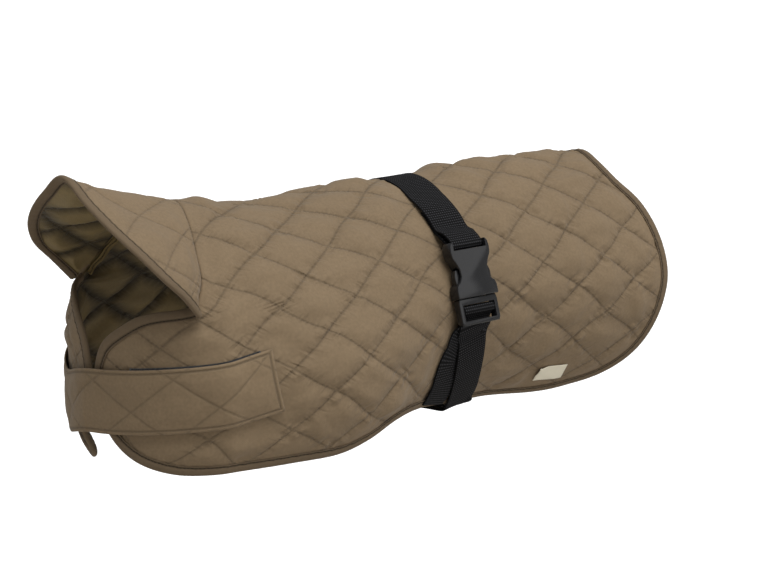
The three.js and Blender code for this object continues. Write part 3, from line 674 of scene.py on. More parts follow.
def new_group(name, takes, gives):
    group = bpy.data.node_groups.new(name, "ShaderNodeTree")
    for title, kind, value in takes:
        socket = group.interface.new_socket(title, in_out="INPUT", socket_type=kind)
        if value is not None:
            socket.default_value = value
    for title in gives:
        group.interface.new_socket(title, in_out="OUTPUT", socket_type="NodeSocketFloat")
    return group, group.nodes.new("NodeGroupInput").outputs, group.nodes.new("NodeGroupOutput").inputs


def weave_group():
    """Plain weave: threads one way and the other, each |sin| of the place, with uneven yarn."""
    group, take, give = new_group("Plain weave", [
        ("Place", "NodeSocketVector", None), ("Threads", "NodeSocketFloat", 900.0)], ["Height"])
    part = add(group, "ShaderNodeSeparateXYZ", i0=take["Place"]).outputs
    warp = sums(group, "SINE", sums(group, "MULTIPLY", part["X"], sums(
        group, "MULTIPLY", take["Threads"], math.pi)))
    weft = sums(group, "SINE", sums(group, "MULTIPLY", part["Y"], sums(
        group, "MULTIPLY", take["Threads"], math.pi)))
    cross = sums(group, "MULTIPLY", warp, weft)
    yarn = add(group, "ShaderNodeTexNoise", {"noise_dimensions": "3D"},
               Vector=take["Place"], Scale=700.0, Detail=2.0)
    group.links.new(sums(group, "ADD", sums(group, "MULTIPLY", cross, 0.5), yarn.outputs["Fac"]),
                    give["Height"])
    return group


def stitch_group():
    """A row of stitches: a groove that follows the row, and threads that lie in it with short gaps."""
    group, take, give = new_group("Stitch row", [
        ("Along", "NodeSocketFloat", 0.0), ("Off", "NodeSocketFloat", 0.0),
        ("Length", "NodeSocketFloat", 0.0036)], ["Groove", "Thread", "Height", "Valley shade"])
    off = sums(group, "ABSOLUTE", take["Off"])
    groove = sums(group, "SUBTRACT", 1.0, sums(group, "DIVIDE", off, 0.0016))
    groove = sums(group, "MAXIMUM", groove, 0.0)
    share = sums(group, "FRACT", sums(group, "DIVIDE", take["Along"], take["Length"]))
    dash = sums(group, "LESS_THAN", sums(group, "ABSOLUTE", sums(group, "SUBTRACT", share, 0.5)), 0.36)
    thin = sums(group, "LESS_THAN", off, 0.00042)
    thread = sums(group, "MULTIPLY", dash, thin)
    # The valley: a wide fall-off beside the row; the cloth uses it only as painted shade in its colour.
    valley_shade = sums(group, "MAXIMUM", sums(group, "SUBTRACT", 1.0, sums(group, "DIVIDE", off, 0.013)), 0.0)
    group.links.new(valley_shade, give["Valley shade"])
    group.links.new(groove, give["Groove"])
    group.links.new(thread, give["Thread"])
    group.links.new(sums(group, "SUBTRACT", sums(group, "MULTIPLY", thread, 0.7), groove), give["Height"])
    return group


def pucker_group():
    """Small gathers square to a stitched row: long across it, close together along it, and fading out."""
    group, take, give = new_group("Puckers", [
        ("Along", "NodeSocketFloat", 0.0), ("Off", "NodeSocketFloat", 0.0)], ["Height"])
    spot = add(group, "ShaderNodeCombineXYZ", X=take["Along"], Y=sums(
        group, "MULTIPLY", take["Off"], 0.22)).outputs[0]
    folds = add(group, "ShaderNodeTexNoise", {"noise_dimensions": "2D"}, Vector=spot, Scale=115.0,
                Detail=2.0, Distortion=0.3)
    near = sums(group, "MAXIMUM", sums(group, "SUBTRACT", 1.0, sums(
        group, "DIVIDE", sums(group, "ABSOLUTE", take["Off"]), 0.013)), 0.0)
    group.links.new(sums(group, "MULTIPLY", sums(group, "SUBTRACT", folds.outputs["Fac"], 0.5), sums(
        group, "POWER", near, 1.5)), give["Height"])
    return group


def mottle_group():
    """Uneven dye and rubbing: broad and fine noise over the object's own place."""
    group, take, give = new_group("Dye and rubbing", [
        ("Place", "NodeSocketVector", None)], ["Broad", "Fine"])
    broad = add(group, "ShaderNodeTexNoise", Vector=take["Place"], Scale=9.0, Detail=3.0)
    fine = add(group, "ShaderNodeTexNoise", Vector=take["Place"], Scale=380.0, Detail=4.0)
    group.links.new(broad.outputs["Fac"], give["Broad"])
    group.links.new(fine.outputs["Fac"], give["Fine"])
    return group


def shared(name, maker):
    return bpy.data.node_groups.get(name) or maker()


def grouped(tree, group, **inputs):
    node = tree.nodes.new("ShaderNodeGroup")
    node.node_tree = group
    for key, value in inputs.items():
        if isinstance(value, bpy.types.NodeSocket):
            tree.links.new(value, node.inputs[key])
        else:
            node.inputs[key].default_value = value
    return node.outputs


def start_material(name, roughness, sheen=0.0, sheen_rough=0.5, specular=0.5):
    material = bpy.data.materials.new(name)
    material.use_nodes = True
    tree = material.node_tree
    tree.nodes.clear()
    out = tree.nodes.new("ShaderNodeOutputMaterial")
    shader = tree.nodes.new("ShaderNodeBsdfPrincipled")
    shader.inputs["Roughness"].default_value = roughness
    shader.inputs["Sheen Weight"].default_value = sheen
    shader.inputs["Sheen Roughness"].default_value = sheen_rough
    shader.inputs["Specular IOR Level"].default_value = specular
    tree.links.new(shader.outputs[0], out.inputs["Surface"])
    return material, tree, shader


def tinted(colour, by):
    return tuple(min(c * by, 1.0) for c in colour[:3]) + (1.0,)


def quilted_cloth(name, colour, roughness, sheen, line_shade, line_share, valley_shade_share, pucker,
                  valley_shade_fall, edge_row=None):
    """Quilted cloth: weave, stitched lines of the lattice, puckers beside them and uneven dye.

    line_share, valley_shade_share and pucker say how strongly the lattice's lines, the painted shade in its
    valleys and the puckers show, and valley_shade_fall how fast that painted shade ends. line_shade is the
    tint of the painted shade in the valleys and in the stitched grooves. edge_row gives the strap's other
    row: how far from its middle line, and where it turns.
    """
    material, tree, shader = start_material(name, roughness, sheen, 0.45, 0.28)
    place = add(tree, "ShaderNodeTexCoord").outputs["Object"]
    cloth = add(tree, "ShaderNodeUVMap", {"uv_map": "cloth"}).outputs[0]
    quilt = add(tree, "ShaderNodeUVMap", {"uv_map": "quilt"}).outputs[0]
    part = add(tree, "ShaderNodeSeparateXYZ", i0=quilt).outputs
    stitch = shared("Stitch row", stitch_group)
    rows = []
    puckers = []
    for one, two in (("X", "Y"), ("Y", "X")):
        shifted = sums(tree, "SUBTRACT", sums(tree, "FRACT", sums(tree, "ADD", part[one], 0.5)), 0.5)
        along = sums(tree, "MULTIPLY", part[two], CROSSINGS_APART * MM)
        off = sums(tree, "MULTIPLY", shifted, LINES_APART * MM)
        rows.append(grouped(tree, stitch, Along=along, Off=off, Length=settings().stitch))
        line = sums(tree, "ROUND", part[one])
        puckers.append(grouped(tree, shared("Puckers", pucker_group), Off=off, Along=sums(
            tree, "MULTIPLY_ADD", line, 0.37, along))["Height"])
    groove = sums(tree, "MAXIMUM", rows[0]["Groove"], rows[1]["Groove"])
    thread = sums(tree, "MAXIMUM", rows[0]["Thread"], rows[1]["Thread"])
    relief = sums(tree, "MINIMUM", rows[0]["Height"], rows[1]["Height"])
    valley_shade = sums(tree, "POWER", sums(tree, "MAXIMUM", rows[0]["Valley shade"], rows[1]["Valley shade"]), valley_shade_fall)
    groove, thread, relief = (
        sums(tree, "MULTIPLY", value, line_share) for value in (groove, thread, relief))
    if edge_row:
        spot = add(tree, "ShaderNodeSeparateXYZ", i0=cloth).outputs
        side = sums(tree, "SUBTRACT", sums(tree, "ABSOLUTE", spot["Y"]), edge_row[0])
        tip = sums(tree, "SUBTRACT", edge_row[1], spot["X"])
        off = sums(tree, "MAXIMUM", side, tip)
        sewn = grouped(tree, stitch, Off=off, Length=settings().stitch,
                       Along=sums(tree, "ADD", spot["X"], spot["Y"]))
        groove = sums(tree, "MAXIMUM", groove, sewn["Groove"])
        thread = sums(tree, "MAXIMUM", thread, sewn["Thread"])
        relief = sums(tree, "MINIMUM", relief, sewn["Height"])
    weave = grouped(tree, shared("Plain weave", weave_group), Place=cloth, Threads=1100.0)["Height"]
    mottle = grouped(tree, shared("Dye and rubbing", mottle_group), Place=place)
    base = mixed(tree, mottle["Broad"], tinted(colour, 0.90), tinted(colour, 1.12))
    grain = sums(tree, "MULTIPLY_ADD", mottle["Fine"], 2.2, -0.6)
    base = mixed(tree, sums(tree, "MULTIPLY", grain, 0.55), base, tinted(colour, 0.68))
    base = mixed(tree, sums(tree, "MULTIPLY", weave, 0.22), base, tinted(colour, 1.35))
    # Painted shade: the cloth darkened in the valleys beside the stitched lines.
    base = mixed(tree, sums(tree, "MULTIPLY", valley_shade, valley_shade_share), base, tinted(colour, line_shade))
    # Painted shade: the cloth darkened in the stitched grooves.
    base = mixed(tree, sums(tree, "MULTIPLY", groove, 0.55), base, tinted(colour, line_shade))
    base = mixed(tree, sums(tree, "MULTIPLY", thread, 0.5), base, tinted(colour, 0.8))
    tree.links.new(base, shader.inputs["Base Color"])
    fine = add(tree, "ShaderNodeBump", Strength=0.35, Distance=0.00012, Height=weave)
    rows_bump = add(tree, "ShaderNodeBump", Strength=0.9, Distance=0.0007, Height=relief,
                    Normal=fine.outputs[0])
    folds = add(tree, "ShaderNodeTexNoise", Vector=place, Scale=85.0, Detail=5.0, Roughness=0.55)
    soft = add(tree, "ShaderNodeBump", Strength=0.5, Distance=0.0012, Height=folds.outputs["Fac"],
               Normal=rows_bump.outputs[0])
    gathers = add(tree, "ShaderNodeBump", Strength=1.0, Distance=0.006 * pucker,
                  Height=sums(tree, "ADD", *puckers), Normal=soft.outputs[0])
    tree.links.new(gathers.outputs[0], shader.inputs["Normal"])
    return material


def taped_cloth(name, colour, row_at, rib=1500.0, roughness=0.85):
    """Binding tape: fine ribs across it, a stitched row near each edge and uneven dye."""
    material, tree, shader = start_material(name, roughness, 0.04, 0.5, 0.12)
    place = add(tree, "ShaderNodeTexCoord").outputs["Object"]
    cloth = add(tree, "ShaderNodeUVMap", {"uv_map": "cloth"}).outputs[0]
    part = add(tree, "ShaderNodeSeparateXYZ", i0=cloth).outputs
    off = sums(tree, "SUBTRACT", sums(tree, "ABSOLUTE", part["Y"]), row_at)
    row = grouped(tree, shared("Stitch row", stitch_group), Along=part["X"], Off=off,
                  Length=settings().stitch)
    ribs = sums(tree, "SINE", sums(tree, "MULTIPLY", part["X"], rib * math.pi))
    mottle = grouped(tree, shared("Dye and rubbing", mottle_group), Place=place)
    base = mixed(tree, mottle["Broad"], tinted(colour, 0.88), tinted(colour, 1.1))
    base = mixed(tree, sums(tree, "MULTIPLY", mottle["Fine"], 0.4), base, tinted(colour, 0.7))
    # Painted shade: the tape darkened in the stitched row's groove.
    base = mixed(tree, sums(tree, "MULTIPLY", row["Groove"], 0.85), base, tinted(colour, 0.36))
    base = mixed(tree, row["Thread"], base, tinted(colour, 0.2))
    tree.links.new(base, shader.inputs["Base Color"])
    fine = add(tree, "ShaderNodeBump", Strength=0.3, Distance=0.0001, Height=ribs)
    rows_bump = add(tree, "ShaderNodeBump", Strength=0.9, Distance=0.0006, Height=row["Height"],
                    Normal=fine.outputs[0])
    tree.links.new(rows_bump.outputs[0], shader.inputs["Normal"])
    return material


def webbing_cloth(name, colour, rib=400.0, yarn=370.0):
    """Webbing: ribs across the band, each broken into yarns; painted shade between ribs, painted highlight
    on yarns.
    """
    material, tree, shader = start_material(name, 0.8, 0.0, 0.5, 0.1)
    cloth = add(tree, "ShaderNodeUVMap", {"uv_map": "cloth"}).outputs[0]
    place = add(tree, "ShaderNodeTexCoord").outputs["Object"]
    part = add(tree, "ShaderNodeSeparateXYZ", i0=cloth).outputs
    ribs = sums(tree, "SINE", sums(tree, "MULTIPLY", part["X"], rib * math.tau))
    yarns = sums(tree, "SINE", sums(tree, "MULTIPLY", part["Y"], yarn * math.tau))
    height = sums(tree, "MULTIPLY", sums(tree, "MULTIPLY_ADD", ribs, 0.5, 0.5), sums(
        tree, "MULTIPLY_ADD", yarns, 0.4, 0.6))
    mottle = grouped(tree, shared("Dye and rubbing", mottle_group), Place=place)
    # Painted highlight on the raised yarns and painted shade in the grooves between the ribs.
    base = mixed(tree, sums(tree, "POWER", height, 2.5), tinted(colour, 0.15), tinted(colour, 16.0))
    base = mixed(tree, sums(tree, "MULTIPLY", mottle["Fine"], 0.5), base, tinted(colour, 2.6))
    tree.links.new(base, shader.inputs["Base Color"])
    bump = add(tree, "ShaderNodeBump", Strength=0.6, Distance=0.0005, Height=height)
    tree.links.new(bump.outputs[0], shader.inputs["Normal"])
    return material


def pile_cloth(name, colour):
    """Hook and loop tape: a dense field of tiny hooks, seen as a rough dark pile."""
    material, tree, shader = start_material(name, 0.95, 0.3, 0.6, 0.2)
    place = add(tree, "ShaderNodeTexCoord").outputs["Object"]
    dots = add(tree, "ShaderNodeTexVoronoi", Vector=place, Scale=900.0)
    base = mixed(tree, dots.outputs["Distance"], tinted(colour, 1.6), tinted(colour, 0.5))
    tree.links.new(base, shader.inputs["Base Color"])
    bump = add(tree, "ShaderNodeBump", Strength=0.7, Distance=0.0008, Height=dots.outputs["Distance"])
    tree.links.new(bump.outputs[0], shader.inputs["Normal"])
    return material


def moulded_plastic(name, colour):
    """Moulded plastic: a fine even grain with slightly uneven gloss."""
    material, tree, shader = start_material(name, 0.33, 0.0, 0.5, 0.5)
    place = add(tree, "ShaderNodeTexCoord").outputs["Object"]
    grain = add(tree, "ShaderNodeTexNoise", Vector=place, Scale=1400.0, Detail=3.0)
    smear = add(tree, "ShaderNodeTexNoise", Vector=place, Scale=60.0, Detail=3.0)
    base = mixed(tree, smear.outputs["Fac"], tinted(colour, 0.85), tinted(colour, 1.3))
    tree.links.new(base, shader.inputs["Base Color"])
    rough = sums(tree, "ADD", sums(tree, "MULTIPLY", smear.outputs["Fac"], 0.14), 0.17)
    tree.links.new(rough, shader.inputs["Roughness"])
    bump = add(tree, "ShaderNodeBump", Strength=0.12, Distance=0.0002, Height=grain.outputs["Fac"])
    tree.links.new(bump.outputs[0], shader.inputs["Normal"])
    return material


def woven_label(name, colour):
    """Label ribbon: satin weave with close cross threads, bare of any writing."""
    material, tree, shader = start_material(name, 0.6, 0.2, 0.4, 0.4)
    cloth = add(tree, "ShaderNodeUVMap", {"uv_map": "cloth"}).outputs[0]
    weave = grouped(tree, shared("Plain weave", weave_group), Place=cloth, Threads=1300.0)["Height"]
    base = mixed(tree, sums(tree, "MULTIPLY", weave, 0.3), tinted(colour, 0.92), tinted(colour, 1.06))
    tree.links.new(base, shader.inputs["Base Color"])
    bump = add(tree, "ShaderNodeBump", Strength=0.4, Distance=0.0002, Height=weave)
    tree.links.new(bump.outputs[0], shader.inputs["Normal"])
    return material


def material_for(title):
    """Each finish is made once; its name differs from those the frame's own solids use."""
    name = "finish_" + title
    found = bpy.data.materials.get(name)
    if found:
        return found
    s = settings()
    makers = {
        "shell": lambda: quilted_cloth(
            name, s.shell_colour, roughness=0.82, sheen=0.12, line_shade=0.4, line_share=0.7,
            valley_shade_share=0.16, pucker=0.62, valley_shade_fall=2.0),
        "collar": lambda: quilted_cloth(
            name, s.shell_colour, roughness=0.82, sheen=0.12, line_shade=0.5, line_share=0.5,
            valley_shade_share=0.08, pucker=0.4, valley_shade_fall=2.0),
        "strap": lambda: quilted_cloth(
            name, s.shell_colour, roughness=0.82, sheen=0.1, line_shade=0.35, line_share=0.5,
            valley_shade_share=0.04, pucker=0.15, valley_shade_fall=2.0,
            edge_row=(STRAP_ROW, STRAP_NEAR * MM + STRAP_TURN)),
        "lining": lambda: quilted_cloth(
            name, s.lining_colour, roughness=0.55, sheen=0.06, line_shade=0.14, line_share=0.5,
            valley_shade_share=1.0, pucker=0.5, valley_shade_fall=1.2),
        "binding": lambda: taped_cloth(name, s.binding_colour, row_at=0.0073),
        "seam_tape": lambda: taped_cloth(name, s.lining_colour, row_at=0.0020),
        "webbing": lambda: webbing_cloth(name, s.webbing_colour),
        "pile": lambda: pile_cloth(name, (0.012, 0.012, 0.013)),
        "plastic": lambda: moulded_plastic(name, s.plastic_colour),
        "ribbon": lambda: woven_label(name, s.label_colour),
    }
    return makers[title]()


def finish_piece(piece, nodes, slot, *titles):
    for title in titles:
        piece.data.materials.append(material_for(title))
    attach(piece, "root")
    if nodes:
        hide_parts(*nodes)
    return piece


def area_of(points):
    """Area of a grid of points, in square metres: half the cross products of each cell's diagonals."""
    one = points[1:, 1:] - points[:-1, :-1]
    two = points[1:, :-1] - points[:-1, 1:]
    return float(np.linalg.norm(np.cross(one, two), axis=-1).sum() / 2) * MM * MM


# Pieces

def make_body():
    """Quilted panel: the form raised by the cloth and its filling, over a lining that bulges in."""
    s, t = body_cut(251, 253)
    u, v = quilt_place(s + 1.3 * waves(s, t, 13, 75), t + 1.3 * waves(s, t, 17, 75), BODY_CROSSING)
    edge = distance_to(CUT_LOOP, s, t)
    seam = distance_to(NECK_CURVE, s, t)
    sewn = ramp(edge, RING - 2, RING + 18)
    full = pillow(u, v, 0.52)
    free = pressed(s, t)
    tight = 0.82 + 0.18 * waves(s, t, 11, 120)
    height = CLOTH + settings().body_puff / MM * full * sewn * free * tight
    height += settings().crease / MM * creases(u, v) * ramp(edge, 6, 14) * (0.35 + 0.65 * free)
    height += (0.45 * waves(s, t, 5, 34) * full + 1.6 * crumple(u, v, 51)) * sewn * (0.25 + 0.75 * free)
    height -= 0.9 * np.exp(-(seam / 2.2) ** 2)
    outer = lift(hung, s, t, height)
    few = (slice(None, None, 2), slice(None, None, 2))
    deep = settings().lining_puff / MM * (full * sewn * (0.4 + 0.6 * free))[few]
    deep += ((0.9 * creases(u, v, 1.3) + 2.8 * crumple(u, v, 61)) * ramp(edge, 6, 16))[few]
    inner = lift(hung, s[few], t[few], -deep)
    piece = cloth_wall("coat_body", outer, inner, np.stack([s, t], -1) * MM, np.stack([u, v], -1))
    finish_piece(piece, ["body_panel"], "shell_cloth", "shell", "lining")
    return piece, area_of(inner), (0.582, 0.687)


def body_edge():
    total = lengths_along(FREE_CURVE)[-1]
    edge = at_lengths(FREE_CURVE, np.linspace(0.4, total - 0.4, int(total / 2.6)))
    return edge, ways_in(edge, -1.0)


def make_body_binding():
    """Tape folded over the panel's free edge, from one end of the collar round to the other."""
    edge, ways = body_edge()
    piece = folded_tape("body_binding_tape", edge, ways, hung)
    return finish_piece(piece, ["body_binding"], "binding_tape", "binding")


COLLAR_W = np.linspace(-1, 1, 13)


def collar_edge_at(w):
    rows = np.vstack([COLLAR_EDGE[:0:-1] * (1, -1, 1), COLLAR_EDGE])
    return np.stack([eased_even(rows[:, k], w) for k in range(3)], axis=-1)


def eased_even(values, w):
    """The table's cubic over w from -1 to 1, level only at its two ends."""
    return eased(COLLAR_W, values, w)


NECK_LONG = lengths_along(NECK_CURVE)[-1]


def seam_at(w):
    where = np.clip((w + 1) / 2, 0, 1) * NECK_LONG
    point = at_lengths(NECK_CURVE, where)
    run = unit(at_lengths(NECK_CURVE, np.minimum(where + 1, NECK_LONG))
               - at_lengths(NECK_CURVE, np.maximum(where - 1, 0)))
    return point[..., 0] - run[..., 1] * 0.2, point[..., 1] + run[..., 0] * 0.2


def collar_skin(w, v):
    """From the neck seam to the free edge; swelled outwards at the sides, sagging along the ridge."""
    w, v = np.broadcast_arrays(w, v)
    s, t = seam_at(w)
    start = lift(worn, s, t, np.zeros(s.shape))
    end = collar_edge_at(w)
    deep = np.linalg.norm(end - start, axis=-1)
    sag = COLLAR_BULGE - COLLAR_SAG * (1 - ramp(np.abs(w), 0.05, 0.45))
    swell = sag * np.sin(math.pi * np.clip(v, 0, 1)) * ramp(deep, 10, 60)
    out = unit(np.stack([
        np.full(w.shape, 0.2), np.sin(w * math.pi / 2), np.cos(w * math.pi / 2)], axis=-1))
    return start + (end - start) * v[..., None] + out * swell[..., None], deep


def collar_lift(w, v, h):
    """Raised from the collar; at the seam it leans the way the body panel does."""
    e = 0.006
    inner = np.clip(w, e - 1, 1 - e)
    one = collar_skin(inner + e, v)[0] - collar_skin(inner - e, v)[0]
    point, deep = collar_skin(w, v)
    fall = 1.6 / np.maximum(deep, 6)
    two = collar_skin(inner, v + fall)[0] - collar_skin(inner, v - fall)[0]
    own = unit(np.cross(one, two))
    s, t = seam_at(w)
    panel = lift(worn, s, t, np.ones(s.shape)) - lift(worn, s, t, np.zeros(s.shape))
    share = ramp(v * deep, 0, 14)[..., None]
    return point + unit(panel * (1 - share) + own * share) * np.asarray(h)[..., None]


def make_collar():
    """Stand-up collar, quilted more softly than the body, with its lining inside."""
    w, v = np.meshgrid(np.linspace(-1, 1, 161), np.linspace(0, 1, 61), indexing="ij")
    deep = collar_skin(w, v)[1]
    p = w * COLLAR_LONG
    q = v * deep
    a, b = quilt_place(q, p, COLLAR_CROSSING)
    end = (1 - np.abs(w)) * COLLAR_LONG
    edge = np.minimum(np.minimum(q, deep - q), end * 0.8)
    sewn = ramp(edge, 6, 24)
    full = pillow(a, b, 0.5)
    height = CLOTH + settings().collar_puff / MM * full * sewn + 0.4 * waves(p, q, 21, 40) * sewn
    height += 0.7 * crumple(a, b, 71) * sewn
    height += 0.5 * creases(a, b, 4.0) * ramp(edge, 6, 14)
    height -= 0.9 * np.exp(-(q / 2.2) ** 2)
    outer = collar_lift(w, v, height)
    few = (slice(None, None, 2), slice(None, None, 2))
    dent = 0.7 * creases(a, b, 2.0) + 1.4 * crumple(a, b, 81)
    dent = (settings().lining_puff / MM * full * sewn + dent * ramp(edge, 6, 14))[few]
    inner = collar_lift(w[few], v[few], -dent)
    piece = cloth_wall("coat_collar", outer, inner, np.stack([p, q], -1) * MM, np.stack([a, b], -1))
    finish_piece(piece, ["collar"], "shell_cloth", "collar", "lining")
    return piece, area_of(inner)


def make_collar_binding():
    """The same folded tape along the collar's free edge, down to the ends of the neck seam."""
    x, y = tape_section()
    w = np.linspace(-0.975, 0.975, 161)
    deep = collar_skin(w, np.ones_like(w))[1]
    free = collar_edge_at(w)
    arc = lengths_along(free)
    ripple = np.sin(arc * math.tau / 8.3 + 1.5 * np.sin(arc / 17))
    v = 1 - x[None, :] / np.maximum(deep, 9.5)[:, None]
    lean = np.broadcast_to(w[:, None], v.shape)
    amount = 0.2 * ripple[:, None] * ramp(x, 0, 3)[None, :] * np.sign(y - 1)[None, :]
    rings = collar_lift(lean, v, y[None, :] + amount)
    piece = swept("collar_binding_tape", rings, arc, np.where(y > 1, x, -x))
    return finish_piece(piece, ["collar_binding"], "binding_tape", "binding")


def make_neck_tape():
    """The neck seam's turned-in edge inside the coat, under a rounded tape."""
    where = np.linspace(6, NECK_LONG - 6, 150)
    edge = at_lengths(NECK_CURVE, where)
    ways = ways_in(edge, -1.0)
    turn = np.linspace(0, math.tau, 16, endpoint=False)
    x = 4.6 + 4.4 * np.cos(turn)
    y = -2.2 + 1.7 * np.sin(turn)
    arc = lengths_along(edge)
    ripple = np.sin(arc * math.tau / 19 + 2 * np.sin(arc / 23))
    p = edge[:, 0, None] + ways[:, 0, None] * x
    q = edge[:, 1, None] + ways[:, 1, None] * x
    rings = lift(worn, p, q, y[None, :] * (1 + 0.2 * ripple[:, None]))
    piece = swept("neck_tape", rings, arc, x)
    return finish_piece(piece, ["neck_seam_tape"], "lining_tape", "seam_tape")


def strap_height(p):
    """Clear of the cloth up to its sewn end, and standing off a little where it turns in front."""
    return STRAP_CLEAR + (STRAP_SEWN - STRAP_CLEAR) * ramp(p, 60, 110) + 3.5 * np.exp(-((p - 12) / 26) ** 2)


def make_strap():
    """Flat quilted band around the chest; its edges are turned in and stitched 3 mm from the fold."""
    p, q = np.meshgrid(
        np.linspace(STRAP_NEAR, STRAP_FAR, 225), np.linspace(-0.5, 0.5, 41) * STRAP_WIDE, indexing="ij")
    a, b = quilt_place(p, q, STRAP_CROSSING)
    edge = np.minimum(STRAP_WIDE / 2 - np.abs(q), np.minimum(p - STRAP_NEAR, STRAP_FAR - p))
    full = pillow(a, b, 0.5)
    height = STRAP_CLOTH + settings().strap_puff / MM * full * ramp(edge, 3.5, 14)
    height += 0.25 * waves(p, q, 31, 26) * ramp(edge, 4, 10) + 0.25 * creases(a, b, 6.0) * ramp(edge, 4, 10)
    height -= 0.3 * np.exp(-((edge - 3.4) / 0.9) ** 2) + 0.5 * np.exp(-((edge / 0.9) ** 2))
    low = strap_height(p) + 0.35 * waves(p, q * 0.2, 33, 70)
    outer = lift(strap_skin, p, q, low + height)
    few = (slice(None, None, 2), slice(None, None, 2))
    inner = lift(strap_skin, p[few], q[few], low[few])
    piece = cloth_wall("chest_band", outer, inner, np.stack([p, q], -1) * MM, np.stack([a, b], -1))
    finish_piece(piece, ["chest_strap"], "shell_cloth", "strap", "lining")
    return piece, area_of(inner)


def flat_layer(name, first, last, low_q, high_q, low, high, nodes, slot, title):
    """A thin layer between two heights over the strap's own lines."""
    step = (STRAP_FAR - STRAP_NEAR) / 32
    p = np.linspace(STRAP_NEAR + first * step, STRAP_NEAR + last * step, 2 * (last - first) * 2 + 1)
    q = np.linspace(low_q, high_q, 13)
    across = np.concatenate([q, q[::-1]])
    lift_by = np.concatenate([np.full(13, low), np.full(13, high)])
    grid_p, grid_q = np.meshgrid(p, across, indexing="ij")
    rings = lift(strap_skin, grid_p, grid_q, np.broadcast_to(lift_by, grid_p.shape))
    piece = swept(name, rings, p, across)
    return finish_piece(piece, nodes, slot, title)


def make_tapes():
    """The two black tapes that close the strap: hooks on its inner face and loops on the panel."""
    flat_layer("hook_tape", first=1, last=22, low_q=-25, high_q=25, low=3.75, high=4.65,
               nodes=["strap_hook_tape"], slot="hook_tape", title="pile")
    flat_layer("loop_patch", first=1, last=13, low_q=-29.8, high_q=25, low=2.6, high=3.35,
               nodes=["panel_loop_patch"], slot="loop_tape", title="pile")


def buckle_frame():
    """Origin and the ways along the back (u), down the side (v) and outwards (w) at the buckle."""
    s, t, h = (np.array([value]) for value in SEAT)
    origin = lift(skin, s, t, h)[0]
    w = unit(lift(skin, s, t, np.ones(1)) - lift(skin, s, t, np.zeros(1)))[0]
    down = (skin(s, t - 1) - skin(s, t + 1))[0]
    v = unit(down - w * down.dot(w))
    return origin, np.cross(w, v), v, w


def belt_stops():
    """Middle of the webbing and the way across it, from the sewn end to the loose tail."""
    origin, across_u, way_v, way_w = buckle_frame()
    middles = []
    acrosses = []

    def on_body(t, h, tail=False):
        t = np.asarray(t, float)
        s = eased(TAIL_LINE[:, 0], TAIL_LINE[:, 1], -t) if tail else belt_middle(t)
        middles.append(lift(worn, s, t, np.broadcast_to(h, t.shape)))
        acrosses.append(worn(s + 15, t) - worn(s - 15, t))

    def in_frame(places):
        v, w = np.array(places, float).T
        middles.append(origin + v[:, None] * way_v + w[:, None] * way_w)
        acrosses.append(np.broadcast_to(across_u, (len(v), 3)))

    def fold(bar, start, end):
        a = np.radians(np.linspace(start, end, 7))
        in_frame(np.stack([bar + FOLD_RADIUS * np.cos(a), BUCKLE_MID + FOLD_RADIUS * np.sin(a)], -1))

    on_body([-68, -80, -92], ON_CLOTH)
    in_frame([(-44, -3.2), (-39.5, 0.4)])
    fold(FEMALE_BAR_V, -90, 90)
    in_frame([(-41, 6.6), (-47, 1.4)])
    on_body([-92], SECOND_LAYER)
    t = np.arange(-80, 253, 12.0)
    over_end = (SECOND_LAYER - ON_CLOTH) * ramp(-t, 40, 76)
    near_hem = (OVER_HEM - ON_CLOTH) * ramp(t, 225, 250)
    on_body(t, ON_CLOTH + over_end + near_hem)
    on_body([262, 270, 278], OVER_HEM)
    middles.append(BELLY)
    acrosses.append(np.tile([1.0, 0.0, 0.0], (4, 1)))
    on_body([-278, -270, -262, -254, -242, -230, -218, -206, -195], SECOND_LAYER)
    in_frame([(38, -0.9), (32, 0.6)])
    fold(MALE_BAR_V, 0, 225)
    in_frame([(25, -0.3), (31, -1.7), (38, -3.5)])
    tail = np.array([-195, -207, -219, -231, -243, -255, -266.0])
    over_cloth = ON_CLOTH + 0.7 * ramp(tail, -220, -205)
    on_body(tail, np.where(tail > -232, over_cloth, TAIL_OVER_HEM), tail=True)
    return np.vstack(middles), np.vstack(acrosses)


def make_belt():
    """Webbing: a flat section with soft edges carried along one smooth path through the stops."""
    middles, acrosses = belt_stops()
    path = smooth_path(middles, 6)
    stop = np.arange(len(acrosses))
    step = np.linspace(0, len(acrosses) - 1, len(path))
    spread = np.stack([np.interp(step, stop, unit(acrosses)[:, k]) for k in range(3)], axis=-1)
    way = unit(np.gradient(path, axis=0))
    wide = unit(spread - way * np.einsum("ij,ij->i", spread, way)[:, None])
    thick = np.cross(wide, way)
    side = BELT_WIDE / 2
    flat = side - BELT_EDGE
    up = BELT_THICK / 2
    x = np.concatenate([np.linspace(-flat, flat, 15), [side], np.linspace(flat, -flat, 15), [-side]])
    y = np.concatenate([np.full(15, -up), [0.0], np.full(15, up), [0.0]])
    rings = path[:, None] + wide[:, None] * x[None, :, None] + thick[:, None] * y[None, :, None]
    piece = swept("belt_webbing", rings, lengths_along(path), x)
    return finish_piece(piece, ["belly_belt"], "webbing", "webbing")


